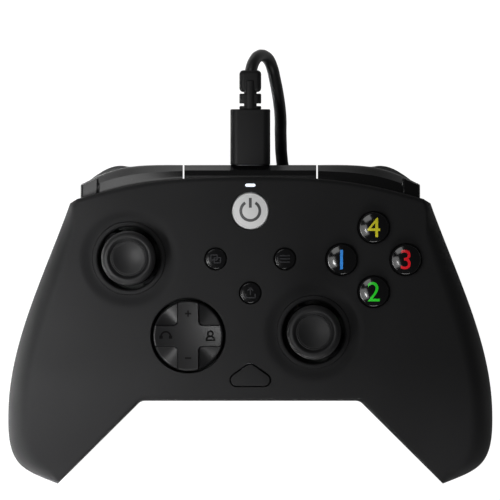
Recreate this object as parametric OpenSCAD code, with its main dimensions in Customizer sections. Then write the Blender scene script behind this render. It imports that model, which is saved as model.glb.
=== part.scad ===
// Wired gamepad lying face up: +X to the right, +Y towards the bumpers, +Z out of the face.
// The origin is on the table under the middle of the case.

/* [Case] */
// Overall width across the grips
body_w = 153; // [148:0.5:158]
// Length from the grip tips to the front of the bumpers
body_l = 100.8; // [99:0.2:104]
// Height of the flat of the face above the table
face_h = 46; // [45:0.5:48]
// Height of the belly above the table
belly_h = 19.5; // [18.8:0.1:20.5]
// Wall of both case shells
wall = 2.2; // [1.8:0.1:2.6]
// Straight bottom edge between the grips
notch_w = 68.8; // [66:0.4:71]
// Reach of the grips past the bottom edge
grip_l = 26.4; // [25:0.2:28]
// Distance of the grip tips from the widest line
tip_inset = 15.6; // [14:0.2:17]
// Width over which the outer sides roll down
side_roll = 7.5; // [6:0.5:9]
// Drop of the face towards the grip ends
grip_droop = 13; // [10:0.5:15]
// Open joint between the two shells
seam = 0.2; // [0.1:0.05:0.3]

/* [Bumpers and triggers] */
// Depth of the bumpers past the top edge of the face
bumper_d = 4; // [3.5:0.1:4.5]
// Half width of the centre bridge
bridge_half = 20.8; // [19:0.2:22]
// Slit between the bridge and each bumper
bumper_slit = 0.5; // [0.4:0.05:0.8]
// Width of a trigger
trigger_w = 22; // [18:0.5:23]
// Thickness of a trigger's finger plate
trigger_t = 2.6; // [2:0.1:3]
// Diameter of a trigger's pin
trigger_pin_d = 3; // [2.5:0.1:3.4]

/* [Sticks] */
// Diameter of a stick cap
stick_d = 17.1; // [15:0.1:18]
// Diameter of a stick's hole in the face
stick_hole_d = 19.8; // [19:0.1:21]
// Height of the stick caps above the face
stick_rise = 13.6; // [12:0.1:14]
// Width of a stick's square housing
stick_housing_w = 16; // [15:0.5:17]
// Click travel of a stick
stick_click = 0.5; // [0.3:0.1:0.6]
// Dished surround of a stick
stick_dish_d = 31; // [28:0.5:32]

/* [Buttons] */
// Diameter of a face button
face_button_d = 9.6; // [8.6:0.1:10]
// Distance of a face button from the middle of its group
face_button_pitch = 10.1; // [9.6:0.1:10.6]
// Travel of a face button
face_button_travel = 1.6; // [1:0.1:1.8]
// Diameter of a small round button
small_button_d = 6.5; // [5.5:0.1:7]
// Travel of a small round button
small_button_travel = 0.8; // [0.5:0.1:1]
// Diameter of the guide disc
guide_d = 11.4; // [10:0.1:12]
// Half width of the triangular button
function_half_w = 6.2; // [5.5:0.1:6.6]
// Height of the triangular button
function_h = 6.9; // [6:0.1:7.4]
// Gap round every button in its hole
button_gap = 0.3; // [0.25:0.05:0.45]
// Diameter of the d-pad disc
dpad_d = 21.6; // [20:0.1:22]
// Diameter of the d-pad's hole
dpad_hole_d = 24.1; // [23.6:0.1:25]
// Width of an arm of the d-pad's cross
dpad_arm_w = 6.4; // [5.5:0.1:7]

/* [Inside] */
// Depth of the board's upper face below the face
board_depth = 11; // [10.8:0.1:11.5]
// Thickness of the circuit board
board_t = 1.6; // [1.2:0.1:2]
// Thickness of the inner frame
frame_t = 1.8; // [1.4:0.1:2.2]
// Running fit of a shaft or pin, on its radius
fit = 0.05; // [0.03:0.01:0.1]
// Diameter of a rumble motor
motor_d = 12; // [10:0.5:13]
// Length of a rumble motor
motor_l = 14; // [12:0.5:15]
// Swing radius of the left rumble weight
left_weight_r = 9; // [7:0.5:9.5]
// Swing radius of the right rumble weight
right_weight_r = 7.5; // [7:0.5:9.5]
// Diameter of the headphone plug
jack_d = 3.5; // [3:0.1:3.8]
// Diameter of a screw's shank
screw_d = 2.4; // [2:0.1:2.8]

/* [Lead] */
// Diameter of the cord
cord_d = 3.8; // [3.4:0.1:3.9]
// Turns in each of the coil's four layers
coil_turns = 4; // [3:1:4]
// Sideways step between the coil's turns
coil_step = 4.3; // [4.25:0.05:4.4]
// Step between the coil's layers
coil_layer = 4.3; // [4.25:0.05:4.35]

/* [Hidden] */
$fn = 48;

// Colours
shell_black = [0.17, 0.17, 0.18];
gloss_black = [0.08, 0.08, 0.09];
pale_grey = [0.75, 0.75, 0.75];
board_green = [0.1, 0.32, 0.2];
rubber_grey = [0.45, 0.45, 0.48];
steel = [0.7, 0.71, 0.73];
frame_grey = [0.3, 0.31, 0.33];
light_white = [0.95, 0.95, 0.9];

// Plan outline of the right half of the case
half_w = body_w / 2;
top_y = body_l / 2;
edge_y = top_y - bumper_d;
notch_y = grip_l - top_y;
corner_r = 3;
corner_turn = 45;
corner_mid = [notch_w / 2 - corner_r * tan(corner_turn / 2), notch_y - corner_r];
tip = [half_w - tip_inset, -top_y];
shoulder = [half_w - 22, edge_y - 6.8];
side_top = shoulder + [2.3, -1.4];
widest = [half_w, 21.1 - top_y];
top_arch = [[0, edge_y], [28, edge_y + 0.6], [40, edge_y - 2.8], shoulder];
side_line = [side_top, side_top + [9.2, -25], widest + [0, 22.3], widest];
grip_end = [widest, widest + [0.3, -15.7], tip + [11.1, 4.4], tip];
back_edge_y = top_y - 13;

function clamp(v) = max(0, min(1, v));
function mix(a, b, v) = a + (b - a) * v;
function ease(v) = clamp(v) * clamp(v) * (3 - 2 * clamp(v));
function bezier(p, t) = pow(1 - t, 3) * p[0] + 3 * t * pow(1 - t, 2) * p[1]
    + 3 * t * t * (1 - t) * p[2] + pow(t, 3) * p[3];
function corner_point(a) = corner_mid + corner_r * [sin(a), cos(a)];

// Heights of the face, the belly and the joint between the shells over a plan point
side_droop = 3;
droop_y = notch_y + 14;
grip_pad = [half_w - 13.5, widest.y + 2.3];
pad_reach = 45;
joint_share = 0.55;
function face_level(p) = face_h - side_droop * pow(p.x / half_w, 2)
    - grip_droop * pow(max(0, (droop_y - p.y) / (top_y + droop_y)), 2);
function back_level(p) = belly_h * (1 - ease(1 - norm([abs(p.x), p.y] - grip_pad) / pad_reach));
function joint_level(p) = mix(back_level(p), face_level(p), joint_share);

// Sections of the case: each runs from the inner outline to the outer outline.
// The first stations follow the top edge, the next turn round the inner corner, the last follow a grip.
top_stations = 8;
fan_stations = 7;
grip_stations = 11;
last_station = top_stations + fan_stations + grip_stations;
fan_share = 0.38;
grip_turn = 0.45;
inner_end_share = 0.97;
cavity_end_share = 0.93;
top_lip = 3;
back_lip_z = 25.6;
inner_roll = 1.2;
top_roll = 1.5;
belly_roll = 12;

function grip_part(k) = (k - top_stations - fan_stations) / grip_stations;
function inner_end(k, share) = k <= top_stations ? [corner_mid.x * k / top_stations, notch_y]
    : k <= top_stations + fan_stations ? corner_point(corner_turn * (k - top_stations) / fan_stations)
    : mix(corner_point(corner_turn), tip, grip_part(k) * share * inner_end_share);
function outer_end(k, share) = k <= top_stations ? bezier(top_arch, k / top_stations)
    : k <= top_stations + fan_stations
        ? bezier(side_line, fan_share * (k - top_stations - 1) / (fan_stations - 1))
    : grip_part(k) * share < grip_turn
        ? bezier(side_line, mix(fan_share, 1, grip_part(k) * share / grip_turn))
    : bezier(grip_end, (grip_part(k) * share - grip_turn) / (1 - grip_turn));
function below_edge(p, is_front) = is_front ? p : [p.x, min(p.y, back_edge_y)];
// 0 along the top edge, 1 along the sides and the grips
function side_share(k) = ease((k - top_stations) / 2);

// Rise of a rounded edge: from base at the edge to 1 at the width
function edge_rise(d, width, base) = d >= width ? 1 : base + (1 - base) * sqrt(1 - pow(1 - d / width, 2));
// Distances from the inner end at which a section of length l has points
function section_steps(l, w_in, w_out) = concat(
    [0, 0.2 * w_in, 0.55 * w_in, w_in],
    [for (i = [1:4]) mix(w_in, l - w_out, i / 5)],
    [for (s = [1, 0.62, 0.34, 0.14, 0.03, 0]) l - s * w_out]);

// One row of points of a shell's outer or inner skin, from the inner rim to the outer rim
function skin_row(k, is_front, is_cavity) =
    let (share = is_cavity ? cavity_end_share : 1,
         a = inner_end(k, share),
         b = below_edge(outer_end(k, share), is_front),
         along = (b - a) / norm(b - a),
         skin = is_cavity ? wall : 0,
         inset = min(skin, 0.3 * norm(b - a)),
         p = a + along * inset,
         q = b - along * inset,
         l = norm(q - p),
         side = side_share(k),
         gap = is_front ? seam / 2 : -seam / 2,
         rim_p = joint_level(a) + gap,
         rim_q = mix(is_front ? face_level(b) - top_lip : back_lip_z, joint_level(b) + gap, side),
         w_in = min(is_front ? inner_roll : mix(inner_roll, belly_roll, 0.35), 0.3 * l),
         w_out = min(is_front ? mix(top_roll, side_roll, side) : mix(inner_roll, belly_roll, side), 0.6 * l),
         base_in = is_front ? 0.88 : 0.6,
         base_out = is_front ? mix(0.5, 0.3, side) : mix(0.6, 0.3, side))
    concat([[p.x, p.y, rim_p]],
        [for (d = section_steps(l, w_in, w_out))
            let (at = p + along * d,
                 rim = mix(rim_p, rim_q, d / l),
                 level = is_front ? face_level(at) - skin : back_level(at) + skin)
            [at.x, at.y, rim + (level - rim) * edge_rise(d, w_in, base_in) * edge_rise(l - d, w_out, base_out)]],
        [[q.x, q.y, rim_q]]);
function mirrored_row(k, is_front, is_cavity) =
    [for (p = skin_row(abs(k), is_front, is_cavity)) k < 0 ? [-p.x, p.y, p.z] : p];

// Quads between two lines of point numbers, as triangles
function strip(a, b) = [for (i = [0:len(a) - 2]) each [[a[i], a[i + 1], b[i + 1]], [a[i], b[i + 1], b[i]]]];
function turned(faces) = [for (f = faces) [f[0], f[2], f[1]]];

// Triangles that close a grip's tip: over the outer row, over the cavity row and along the rim between them
function end_faces(outer, cavity) = let (m = len(outer)) concat(
    [for (i = [1:m - 2]) each [[outer[0], outer[i], outer[i + 1]], [cavity[0], cavity[i + 1], cavity[i]]]],
    [[outer[0], outer[m - 1], cavity[m - 1]], [outer[0], cavity[m - 1], cavity[0]]]);

// A shell of the case before its holes: an outer skin and a cavity skin joined along the rim
module shell_form(is_front) {
    rows = [for (is_cavity = [false, true], k = [-last_station:last_station])
        mirrored_row(k, is_front, is_cavity)];
    per_row = len(rows[0]);
    count = 2 * last_station + 1;
    outer = [for (r = [0:count - 1]) [for (i = [0:per_row - 1]) r * per_row + i]];
    cavity = [for (r = [count:2 * count - 1]) [for (i = [0:per_row - 1]) r * per_row + i]];
    near_rim = [for (r = outer) r[0]];
    near_cavity = [for (r = cavity) r[0]];
    far_rim = [for (r = outer) r[per_row - 1]];
    far_cavity = [for (r = cavity) r[per_row - 1]];
    faces = concat(
        [for (r = [0:count - 2]) each strip(outer[r], outer[r + 1])],
        [for (r = [0:count - 2]) each strip(cavity[r + 1], cavity[r])],
        strip(near_rim, near_cavity),
        strip(far_cavity, far_rim),
        turned(end_faces(outer[0], cavity[0])),
        end_faces(outer[count - 1], cavity[count - 1]));
    polyhedron([for (r = rows) each r], is_front ? faces : turned(faces), convexity = 6);
}

// Places of the controls, as shares of the half width and of the way from the bottom edge to the top edge
function on_face(x_share, y_share) = [half_w * x_share, mix(notch_y, edge_y, y_share)];
left_stick_at = on_face(-0.5, 0.638);
right_stick_at = on_face(0.261, 0.308);
dpad_at = on_face(-0.256, 0.291);
face_group_at = on_face(0.507, 0.632);
west_at = face_group_at + [-face_button_pitch, 0];
south_at = face_group_at + [0, -face_button_pitch];
east_at = face_group_at + [face_button_pitch, 0];
north_at = face_group_at + [0, face_button_pitch];
view_at = on_face(-0.1425, 0.635);
menu_at = on_face(0.1425, 0.635);
share_at = on_face(0, 0.483);
guide_at = [0, edge_y - 10.6];
light_at = [0, edge_y - 2.5];
light_size = [3.4, 1.15];
function_at = [0, notch_y + 4.7];

// Levels inside the case
board_top = face_h - board_depth;
board_low = board_top - board_t;
standoff_h = 4.6;
frame_top = board_low - standoff_h;
frame_low = frame_top - frame_t;
flange = 0.9;
button_depth = 4.6;
flange_drop = wall + 0.7;
dome_gap = 0.4;
pad_t = 0.8;

// Screw places on the right half
boss_r = 3;
frame_boss_at = [[bridge_half + 3.2, edge_y - 14.4], [half_w - 34.5, notch_y + 16]];
case_boss_at = [[half_w - 19.5, mix(notch_y, edge_y, 0.426)], [half_w - 15.5, widest.y - 4.7]];
screw_r = screw_d / 2;
screw_seat = 5;
head_r = screw_r + 1.1;
head_h = 1.6;

module both_sides() {
    children();
    mirror([1, 0, 0]) children();
}
module at_face(p) translate([p.x, p.y, face_level(p)]) children();

// Rounded triangle grown by a margin
module function_outline(grow) {
    base_r = 1.9;
    apex_r = 1.5;
    hull() {
        for (s = [-1, 1])
            translate([s * (function_half_w - base_r), base_r]) circle(base_r + grow, $fn = 32);
        translate([0, function_h - apex_r]) circle(apex_r + grow, $fn = 32);
    }
}

// Everything cut through the face: control holes, stick dishes, light slot
module face_holes() {
    through = 20;
    dish = 1;
    dish_floor_r = 11.5;
    for (p = [left_stick_at, right_stick_at]) at_face(p) {
        cylinder(d = stick_hole_d, h = through, center = true);
        rotate_extrude() polygon([[0, -dish], [dish_floor_r, -dish], [stick_dish_d / 2, 0.05],
            [stick_dish_d / 2, through], [0, through]]);
    }
    at_face(dpad_at) cylinder(d = dpad_hole_d, h = through, center = true);
    for (p = [west_at, south_at, east_at, north_at])
        at_face(p) cylinder(d = face_button_d + 2 * button_gap, h = through, center = true);
    for (p = [view_at, menu_at, share_at])
        at_face(p) cylinder(d = small_button_d + 2 * button_gap, h = through, center = true);
    at_face(guide_at) cylinder(d = guide_d + 2 * button_gap, h = through, center = true);
    at_face(light_at) cube([light_size.x, light_size.y, through], center = true);
    at_face(function_at) translate([0, 0, -through / 2]) linear_extrude(through) function_outline(button_gap);
}

module front_shell() color(shell_black) difference() {
    union() {
        shell_form(true);
        both_sides() {
            for (p = frame_boss_at) translate([p.x, p.y, frame_top])
                cylinder(r = boss_r, h = face_level(p) - wall / 2 - frame_top);
            for (p = case_boss_at) translate([p.x, p.y, joint_level(p) + seam / 2])
                cylinder(r = boss_r, h = face_level(p) - wall / 2 - joint_level(p) - seam / 2);
        }
    }
    face_holes();
    both_sides() {
        for (p = frame_boss_at) translate([p.x, p.y, frame_top - 1]) cylinder(r = screw_r + fit, h = 10);
        for (p = case_boss_at) translate([p.x, p.y, joint_level(p) - 1]) cylinder(r = screw_r + fit, h = 10);
    }
}

jack_z = board_low - 4;
jack_nose_r = 2.9;
module back_shell() color(shell_black) difference() {
    union() {
        shell_form(false);
        both_sides() for (p = case_boss_at) translate([p.x, p.y, back_level(p) + wall / 2])
            cylinder(r = boss_r + 0.6, h = joint_level(p) - seam / 2 - back_level(p) - wall / 2);
    }
    both_sides() for (p = case_boss_at) translate([p.x, p.y, back_level(p) - wall]) {
        cylinder(r = head_r + 0.2, h = wall + screw_seat);
        cylinder(r = screw_r + 0.15, h = 60);
    }
    translate([0, notch_y + 5, jack_z]) rotate([90, 0, 0]) cylinder(r = jack_nose_r + button_gap, h = 10);
}

// Bumper band: stations run outwards along the top edge
bumper_drop = 3.8;
bumper_top = face_h - bumper_drop;
bumper_low = board_top - 1;
bumper_in = bridge_half + bumper_slit;
bumper_stations = 12;
bumper_end_x = half_w - 23;
bumper_tuck = 2.5;
bumper_front = [[bumper_in, top_y - 0.1], [38, top_y + 0.1], [42, top_y - 0.4], [bumper_end_x, top_y - 6.3]];
bumper_hinge = [bridge_half + 5.6, edge_y - 3.4];
bumper_pin_r = 1.2;
hinge_pad_r = 2.2;
hinge_h = 5;
function arch_t(x, lo = 0, hi = 1, n = 18) = n == 0 ? (lo + hi) / 2
    : bezier(top_arch, (lo + hi) / 2).x < x ? arch_t(x, (lo + hi) / 2, hi, n - 1)
    : arch_t(x, lo, (lo + hi) / 2, n - 1);
function arch_y(x) = bezier(top_arch, arch_t(x)).y;
// Section of the band at a front point: under the lip, glossy band, sloping facet, front wall
band_share = 0.56;
band_fall = 0.9;
facet_fall = 4;
front_round = [0.3, 0.6];
function band_section(f) = let (e = arch_y(f.x), top = face_level([f.x, e]) - bumper_drop) [
    [f.x, e - bumper_tuck, bumper_low], [f.x, e - bumper_tuck, top],
    [f.x, e + 0.3, top], [f.x, mix(e, f.y, band_share), top - band_fall],
    [f.x, f.y - front_round.x, top - facet_fall + front_round.y], [f.x, f.y, top - facet_fall],
    [f.x, f.y, bumper_low]];
// Solid through a list of equal closed loops
module loft(loops) {
    m = len(loops[0]);
    ids = [for (r = [0:len(loops) - 1]) [for (i = [0:m]) r * m + i % m]];
    last = (len(loops) - 1) * m;
    faces = concat([for (r = [0:len(loops) - 2]) each strip(ids[r], ids[r + 1])],
        [for (i = [1:m - 2]) [0, i + 1, i]], [for (i = [1:m - 2]) [last, last + i, last + i + 1]]);
    polyhedron([for (r = loops) each r], faces, convexity = 4);
}
module bumper() {
    difference() {
        union() {
            loft([for (i = [0:bumper_stations]) band_section(bezier(bumper_front, i / bumper_stations))]);
            translate([bumper_hinge.x, bumper_hinge.y, bumper_low]) cylinder(r = hinge_pad_r + 0.4, h = hinge_h);
        }
        translate([bumper_hinge.x, bumper_hinge.y, bumper_low - 1]) cylinder(r = bumper_pin_r + fit, h = hinge_h);
    }
}
module right_bumper() color(gloss_black) bumper();
module left_bumper() color(gloss_black) mirror([1, 0, 0]) bumper();

// Centre bridge with the port for the lead
socket_size = [9, 8, 3.4];
port_z = board_top + socket_size.z / 2;
port_size = [9.8, 3.9];
socket_y = edge_y - 8;
module top_bridge() color(gloss_black) difference() {
    skirt_z = frame_low - 3;
    translate([-bridge_half, 0, 0]) rotate([90, 0, 90]) linear_extrude(2 * bridge_half) polygon([
        [edge_y - 6, frame_top], [edge_y - 1.4, frame_top], [edge_y - 1.4, skirt_z], [top_y - 0.8, skirt_z],
        [top_y - 0.1, skirt_z + 2], [top_y - 0.1, bumper_top - facet_fall], [top_y - 2, bumper_top - band_fall],
        [edge_y + 0.3, bumper_top], [edge_y - 2.2, bumper_top], [edge_y - 2.2, bumper_top - 2.8],
        [edge_y - 6, bumper_top - 2.8]]);
    translate([-8.6, edge_y - 7, board_low - 0.6]) cube([17.2, 7.4, bumper_top - 2 - board_low]);
    translate([-port_size.x / 2, edge_y - 1, port_z - port_size.y / 2]) cube([port_size.x, 10, port_size.y]);
}

// Triggers: a curved finger plate on a pin under the bumper
trigger_axis = [top_y - 8.4, bumper_low - 4];
trigger_in = bridge_half + 8.2;
trigger_out = trigger_in + trigger_w;
trigger_barrel_r = trigger_pin_d / 2 + 1.7;
ear_t = 1.5;
ear_gap = 0.5;
trigger_tip_z = 3.2;
function curve(p, n = 8) = [for (i = [0:n - 1]) bezier(p, i / n)];
module trigger() {
    y = trigger_axis.x;
    z = trigger_axis.y;
    knee = [y + 6.4, 16];
    back = knee - [trigger_t, 0];
    profile = concat(
        curve([[y, z + trigger_barrel_r], [y + 6, z + 2.6], [y + 7.6, z - 6], knee]),
        curve([knee, knee + [-0.8, -6], [y + 5.8, 6], [top_y, trigger_tip_z + 0.6]]),
        [[top_y, trigger_tip_z]],
        curve([[top_y - 0.6, trigger_tip_z - 1], [top_y - 3, 0.4], [y + 4.4, 0], [y + 3, 0]], 5),
        curve([[y + 3, 0], [y + 1.4, 0], [y + 3.6, 6], back]),
        curve([back, back + [0.4, 5], [y + 2, z - 6], [y, z - trigger_barrel_r]]));
    plan = concat([[0, 0], [trigger_in, 0], [trigger_in, top_y - 0.4], [38, top_y - 0.4]],
        curve([[39, top_y - 0.4], [43, top_y + 0.6], [46.5, top_y - 1], [trigger_out + 1, top_y - 5.4]]),
        [[trigger_out + 1, 0]]);
    difference() {
        union() {
            intersection() {
                translate([trigger_in, 0, 0]) rotate([90, 0, 90]) linear_extrude(trigger_w) polygon(profile);
                linear_extrude(z + 10) polygon(plan);
            }
            translate([trigger_in, y, z]) rotate([0, 90, 0]) cylinder(r = trigger_barrel_r, h = trigger_w);
        }
        translate([trigger_in - 1, y, z]) rotate([0, 90, 0])
            cylinder(r = trigger_pin_d / 2 + fit, h = trigger_w + 2);
    }
}
module right_trigger() color(gloss_black) trigger();
module left_trigger() color(gloss_black) mirror([1, 0, 0]) trigger();
module trigger_pin() translate([trigger_in - ear_gap - ear_t, trigger_axis.x, trigger_axis.y]) rotate([0, 90, 0])
    cylinder(d = trigger_pin_d, h = trigger_w + 2 * ear_gap + 2 * ear_t);
module right_trigger_pin() color(steel) trigger_pin();
module left_trigger_pin() color(steel) mirror([1, 0, 0]) trigger_pin();

// Stick gimbal: housing, yoke on X pins, pivot on Y pins, shaft sliding in the pivot, cap on the shaft
pivot_rise = 5.5;
pivot_z = board_top + pivot_rise;
housing_h = 7.6;
housing_base_h = 4.3;
housing_wall = 1.5;
yoke_size = [11.6, 10, 3.2];
yoke_hole = [8, 6.6];
yoke_pin_r = 1.1;
pivot_size = [6.4, 5.4, 3];
pivot_pin_r = 0.8;
shaft_r = 1.25;
shaft_drop = 3.4;
shaft_rise = 15;
switch_h = 1.2;
click_window = 4.4;
module pin_x(r, l) rotate([0, 90, 0]) cylinder(r = r, h = l, center = true);
module pin_y(r, l) rotate([90, 0, 0]) cylinder(r = r, h = l, center = true);
module at_pivot(p) translate([p.x, p.y, pivot_z]) children();

// Square base with a round tower that stays inside the cap's skirt
module stick_housing(p) translate([p.x, p.y, board_top]) difference() {
    inside = stick_housing_w - 2 * housing_wall;
    union() {
        translate([-stick_housing_w / 2, -stick_housing_w / 2, 0])
            cube([stick_housing_w, stick_housing_w, housing_base_h]);
        cylinder(d = stick_housing_w, h = housing_h);
    }
    translate([-inside / 2, -inside / 2, 1]) cube([inside, inside, housing_h]);
    translate([0, 0, pivot_rise]) pin_x(yoke_pin_r + fit, stick_housing_w + 2);
    translate([-click_window / 2, -click_window / 2, -1]) cube([click_window, click_window, 4]);
}
module stick_yoke(p) at_pivot(p) difference() {
    union() {
        cube(yoke_size, center = true);
        pin_x(yoke_pin_r, stick_housing_w - 0.6);
    }
    cube([yoke_hole.x, yoke_hole.y, yoke_size.z + 1], center = true);
    pin_y(pivot_pin_r + fit, yoke_size.y + 1);
}
module stick_pivot(p) at_pivot(p) difference() {
    union() {
        cube(pivot_size, center = true);
        pin_y(pivot_pin_r, yoke_size.y - 0.4);
    }
    cylinder(r = shaft_r + fit, h = 10, center = true);
}
module stick_shaft(p) at_pivot(p) translate([0, 0, -shaft_drop]) cylinder(r = shaft_r, h = shaft_drop + shaft_rise);
module stick_cap(p) {
    top = face_level(p) + stick_rise - pivot_z;
    r = stick_d / 2;
    neck_r = 3.4;
    neck_z = 4;
    skirt_r = stick_hole_d / 2 - 0.3;
    skirt_t = 0.8;
    skirt_start = 18;
    skirt_end = 66;
    dish_r = 4.8;
    at_pivot(p) difference() {
        union() {
            rotate_extrude() polygon(concat(
                [[0, neck_z], [neck_r, neck_z], [neck_r, top - 8], [r - 1.6, top - 5.6], [r - 0.2, top - 4.4]],
                [for (a = [0:15:90]) [r - 1.6 + 1.6 * cos(a), top - 1.6 + 1.6 * sin(a)]],
                [[6.3, top], [dish_r, top - 0.3], [dish_r - 0.5, top - 1.1], [2, top - 1.5], [0, top - 1.55]]));
            rotate_extrude() polygon(concat(
                [for (a = [skirt_start:6:skirt_end]) skirt_r * [sin(a), cos(a)]],
                [for (a = [skirt_end:-6:skirt_start]) (skirt_r - skirt_t) * [sin(a), cos(a)]]));
        }
        translate([0, 0, neck_z - 1]) cylinder(r = shaft_r + 0.02, h = shaft_rise - neck_z + 1.02);
    }
}
module left_stick_housing() color(steel) stick_housing(left_stick_at);
module right_stick_housing() color(steel) stick_housing(right_stick_at);
module left_stick_yoke() color(frame_grey) stick_yoke(left_stick_at);
module right_stick_yoke() color(frame_grey) stick_yoke(right_stick_at);
module left_stick_pivot() color(pale_grey) stick_pivot(left_stick_at);
module right_stick_pivot() color(pale_grey) stick_pivot(right_stick_at);
module left_stick_shaft() color(steel) stick_shaft(left_stick_at);
module right_stick_shaft() color(steel) stick_shaft(right_stick_at);
module left_stick_cap() color(shell_black) stick_cap(left_stick_at);
module right_stick_cap() color(shell_black) stick_cap(right_stick_at);
module stick_sensors() color(board_green) for (p = [left_stick_at, right_stick_at])
    translate([p.x, p.y, board_top]) {
        translate([stick_housing_w / 2, -4.5, 0]) cube([2.5, 9, housing_base_h]);
        translate([-4.5, -stick_housing_w / 2 - 2.5, 0]) cube([9, 2.5, housing_base_h]);
    }
module stick_click_switches() color(frame_grey) for (p = [left_stick_at, right_stick_at])
    translate([p.x - 2, p.y - 2, board_top]) cube([4, 4, switch_h]);

// D-pad: disc and cross on a two-axis carrier
dpad_pin_r = 0.8;
dpad_drop = 5.8;
carrier_size = [5.8, 4.6, 2.4];
post_ear_x = 3.4;
cap_ear_y = 2.9;
dpad_ear_t = 1.5;
dpad_ear_w = 3.4;
foot_at = 7.5;
dpad_z = face_level(dpad_at) - dpad_drop;
module at_dpad() translate([dpad_at.x, dpad_at.y, dpad_z]) children();
module dpad_post() color(frame_grey) at_dpad() difference() {
    floor_z = board_top - dpad_z;
    union() {
        translate([0, 0, floor_z]) cylinder(r = 5.6, h = 1.4);
        for (s = [-1, 1]) translate([s * (post_ear_x + dpad_ear_t / 2), 0, floor_z / 2 + 0.8])
            cube([dpad_ear_t, dpad_ear_w, -floor_z + 1.6], center = true);
    }
    pin_x(dpad_pin_r + fit, 20);
}
module dpad_carrier() color(pale_grey) at_dpad() {
    cube(carrier_size, center = true);
    pin_x(dpad_pin_r, 2 * (post_ear_x + dpad_ear_t));
    pin_y(dpad_pin_r, 2 * (cap_ear_y + dpad_ear_t));
}
module dpad_cap() color(gloss_black) at_dpad() {
    under = dpad_drop - 2.6;
    rim = dpad_drop + 0.8;
    r = dpad_d / 2;
    difference() {
        union() {
            rotate_extrude() polygon([[0, under], [r, under], [r, rim], [r - 0.8, rim + 0.3], [2, rim - 1.6], [0, rim - 1.6]]);
            intersection() {
                translate([0, 0, under]) cylinder(r = r - 0.4, h = rim + 1 - under);
                for (a = [0, 90]) rotate(a) translate([-dpad_arm_w / 2, -r, under]) cube([dpad_arm_w, 2 * r, 10]);
            }
            for (s = [-1, 1]) translate([0, s * (cap_ear_y + dpad_ear_t / 2), (under - 1.6) / 2])
                cube([dpad_ear_w, dpad_ear_t, under + 1.6], center = true);
            for (a = [0:90:270]) rotate(a) translate([foot_at, 0, under - 2.6]) cylinder(r = 1.3, h = 3);
        }
        pin_y(dpad_pin_r + fit, 20);
    }
}

// Push buttons: a domed cap with a flange under the face and a hollow for the rubber dome
module push_button(p, d, rise, crown, travel) {
    r = d / 2;
    hollow_r = r - 1.4;
    roof = travel + dome_gap + 0.2 - button_depth;
    at_face(p) rotate_extrude() polygon(concat(
        [[hollow_r, -button_depth], [r + flange, -button_depth], [r + flange, -flange_drop], [r, -flange_drop]],
        [[r, rise - 0.5], [r - 0.15, rise - 0.15]],
        [for (i = [0:8]) let (x = (r - 0.5) * (1 - i / 8)) [x, rise + crown * (1 - pow(x / r, 2))]],
        [[0, roof], [hollow_r, roof]]));
}
module face_button(p) push_button(p, face_button_d, 1.9, 1, face_button_travel);
module small_button(p) push_button(p, small_button_d, 0.6, 0.6, small_button_travel);
module button_west() color(gloss_black) face_button(west_at);
module button_south() color(gloss_black) face_button(south_at);
module button_east() color(gloss_black) face_button(east_at);
module button_north() color(gloss_black) face_button(north_at);
module view_button() color(gloss_black) small_button(view_at);
module menu_button() color(gloss_black) small_button(menu_at);
module share_button() color(gloss_black) small_button(share_at);
module guide_button() color(pale_grey) push_button(guide_at, guide_d, 0.4, 0.5, small_button_travel);
module function_button() color(shell_black) at_face(function_at) {
    translate([0, 0, -flange_drop - 0.6]) linear_extrude(flange_drop + 1.2) function_outline(0);
    translate([0, 0, -button_depth]) linear_extrude(button_depth - flange_drop) function_outline(flange);
}
module status_light() color(light_white) at_face(light_at) translate([0, 0, -top_lip / 2])
    cube([light_size.x - 2 * fit, light_size.y - 2 * fit, top_lip], center = true);

// Rubber domes: each stops short of its pressed button
module dome(p, r, drop = 0) translate([p.x, p.y, board_top])
    cylinder(r = r, h = face_level(p) - button_depth - drop - board_top);
module face_membrane() color(rubber_grey) {
    translate([face_group_at.x, face_group_at.y, board_top]) cylinder(r = face_button_pitch + 3.2, h = pad_t);
    for (p = [west_at, south_at, east_at, north_at]) dome(p, 2.2);
}
module dpad_membrane() color(rubber_grey) translate([dpad_at.x, dpad_at.y, board_top]) {
    difference() {
        cylinder(r = 10.4, h = pad_t);
        translate([0, 0, -1]) cylinder(r = 6, h = 4);
    }
    for (a = [0:90:270]) rotate(a) translate([foot_at, 0, 0]) cylinder(r = 1.4, h = 4.2);
}
module menu_membrane() color(rubber_grey) {
    for (p = [view_at, menu_at, share_at]) dome(p, 1.2);
    dome(guide_at, 2.2);
    dome(function_at + [0, 2.4], 1.6, small_button_travel + 2 * dome_gap);
    translate([view_at.x - 4, share_at.y - 3, board_top])
        cube([menu_at.x - view_at.x + 8, guide_at.y - share_at.y + 4.5, pad_t]);
    translate([-3, function_at.y - 1, board_top]) cube([6, share_at.y - function_at.y, pad_t]);
}

// Circuit board, cut back round the shell's bosses
board_half = case_boss_at[0].x - boss_r - 0.6;
board_low_half = frame_boss_at[1].x - boss_r - 3;
board_y = edge_y - 9.4;
board_step_y = case_boss_at[0].y - 4;
board_cut = 7.2;
socket_half = socket_size.x / 2 + 3.5;
board_side = [[board_low_half, notch_y + 5], [board_low_half, board_step_y], [board_half, board_step_y],
    [board_half, board_y - board_cut], [board_half - board_cut, board_y], [socket_half, board_y],
    [socket_half, edge_y - 1.2]];
module main_board() color(board_green) translate([0, 0, board_low]) difference() {
    linear_extrude(board_t)
        polygon(concat(board_side, [for (i = [len(board_side) - 1:-1:0]) [-board_side[i].x, board_side[i].y]]));
    both_sides() for (p = frame_boss_at) translate([p.x, p.y, -1]) cylinder(r = boss_r + 0.4, h = board_t + 2);
}

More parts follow.
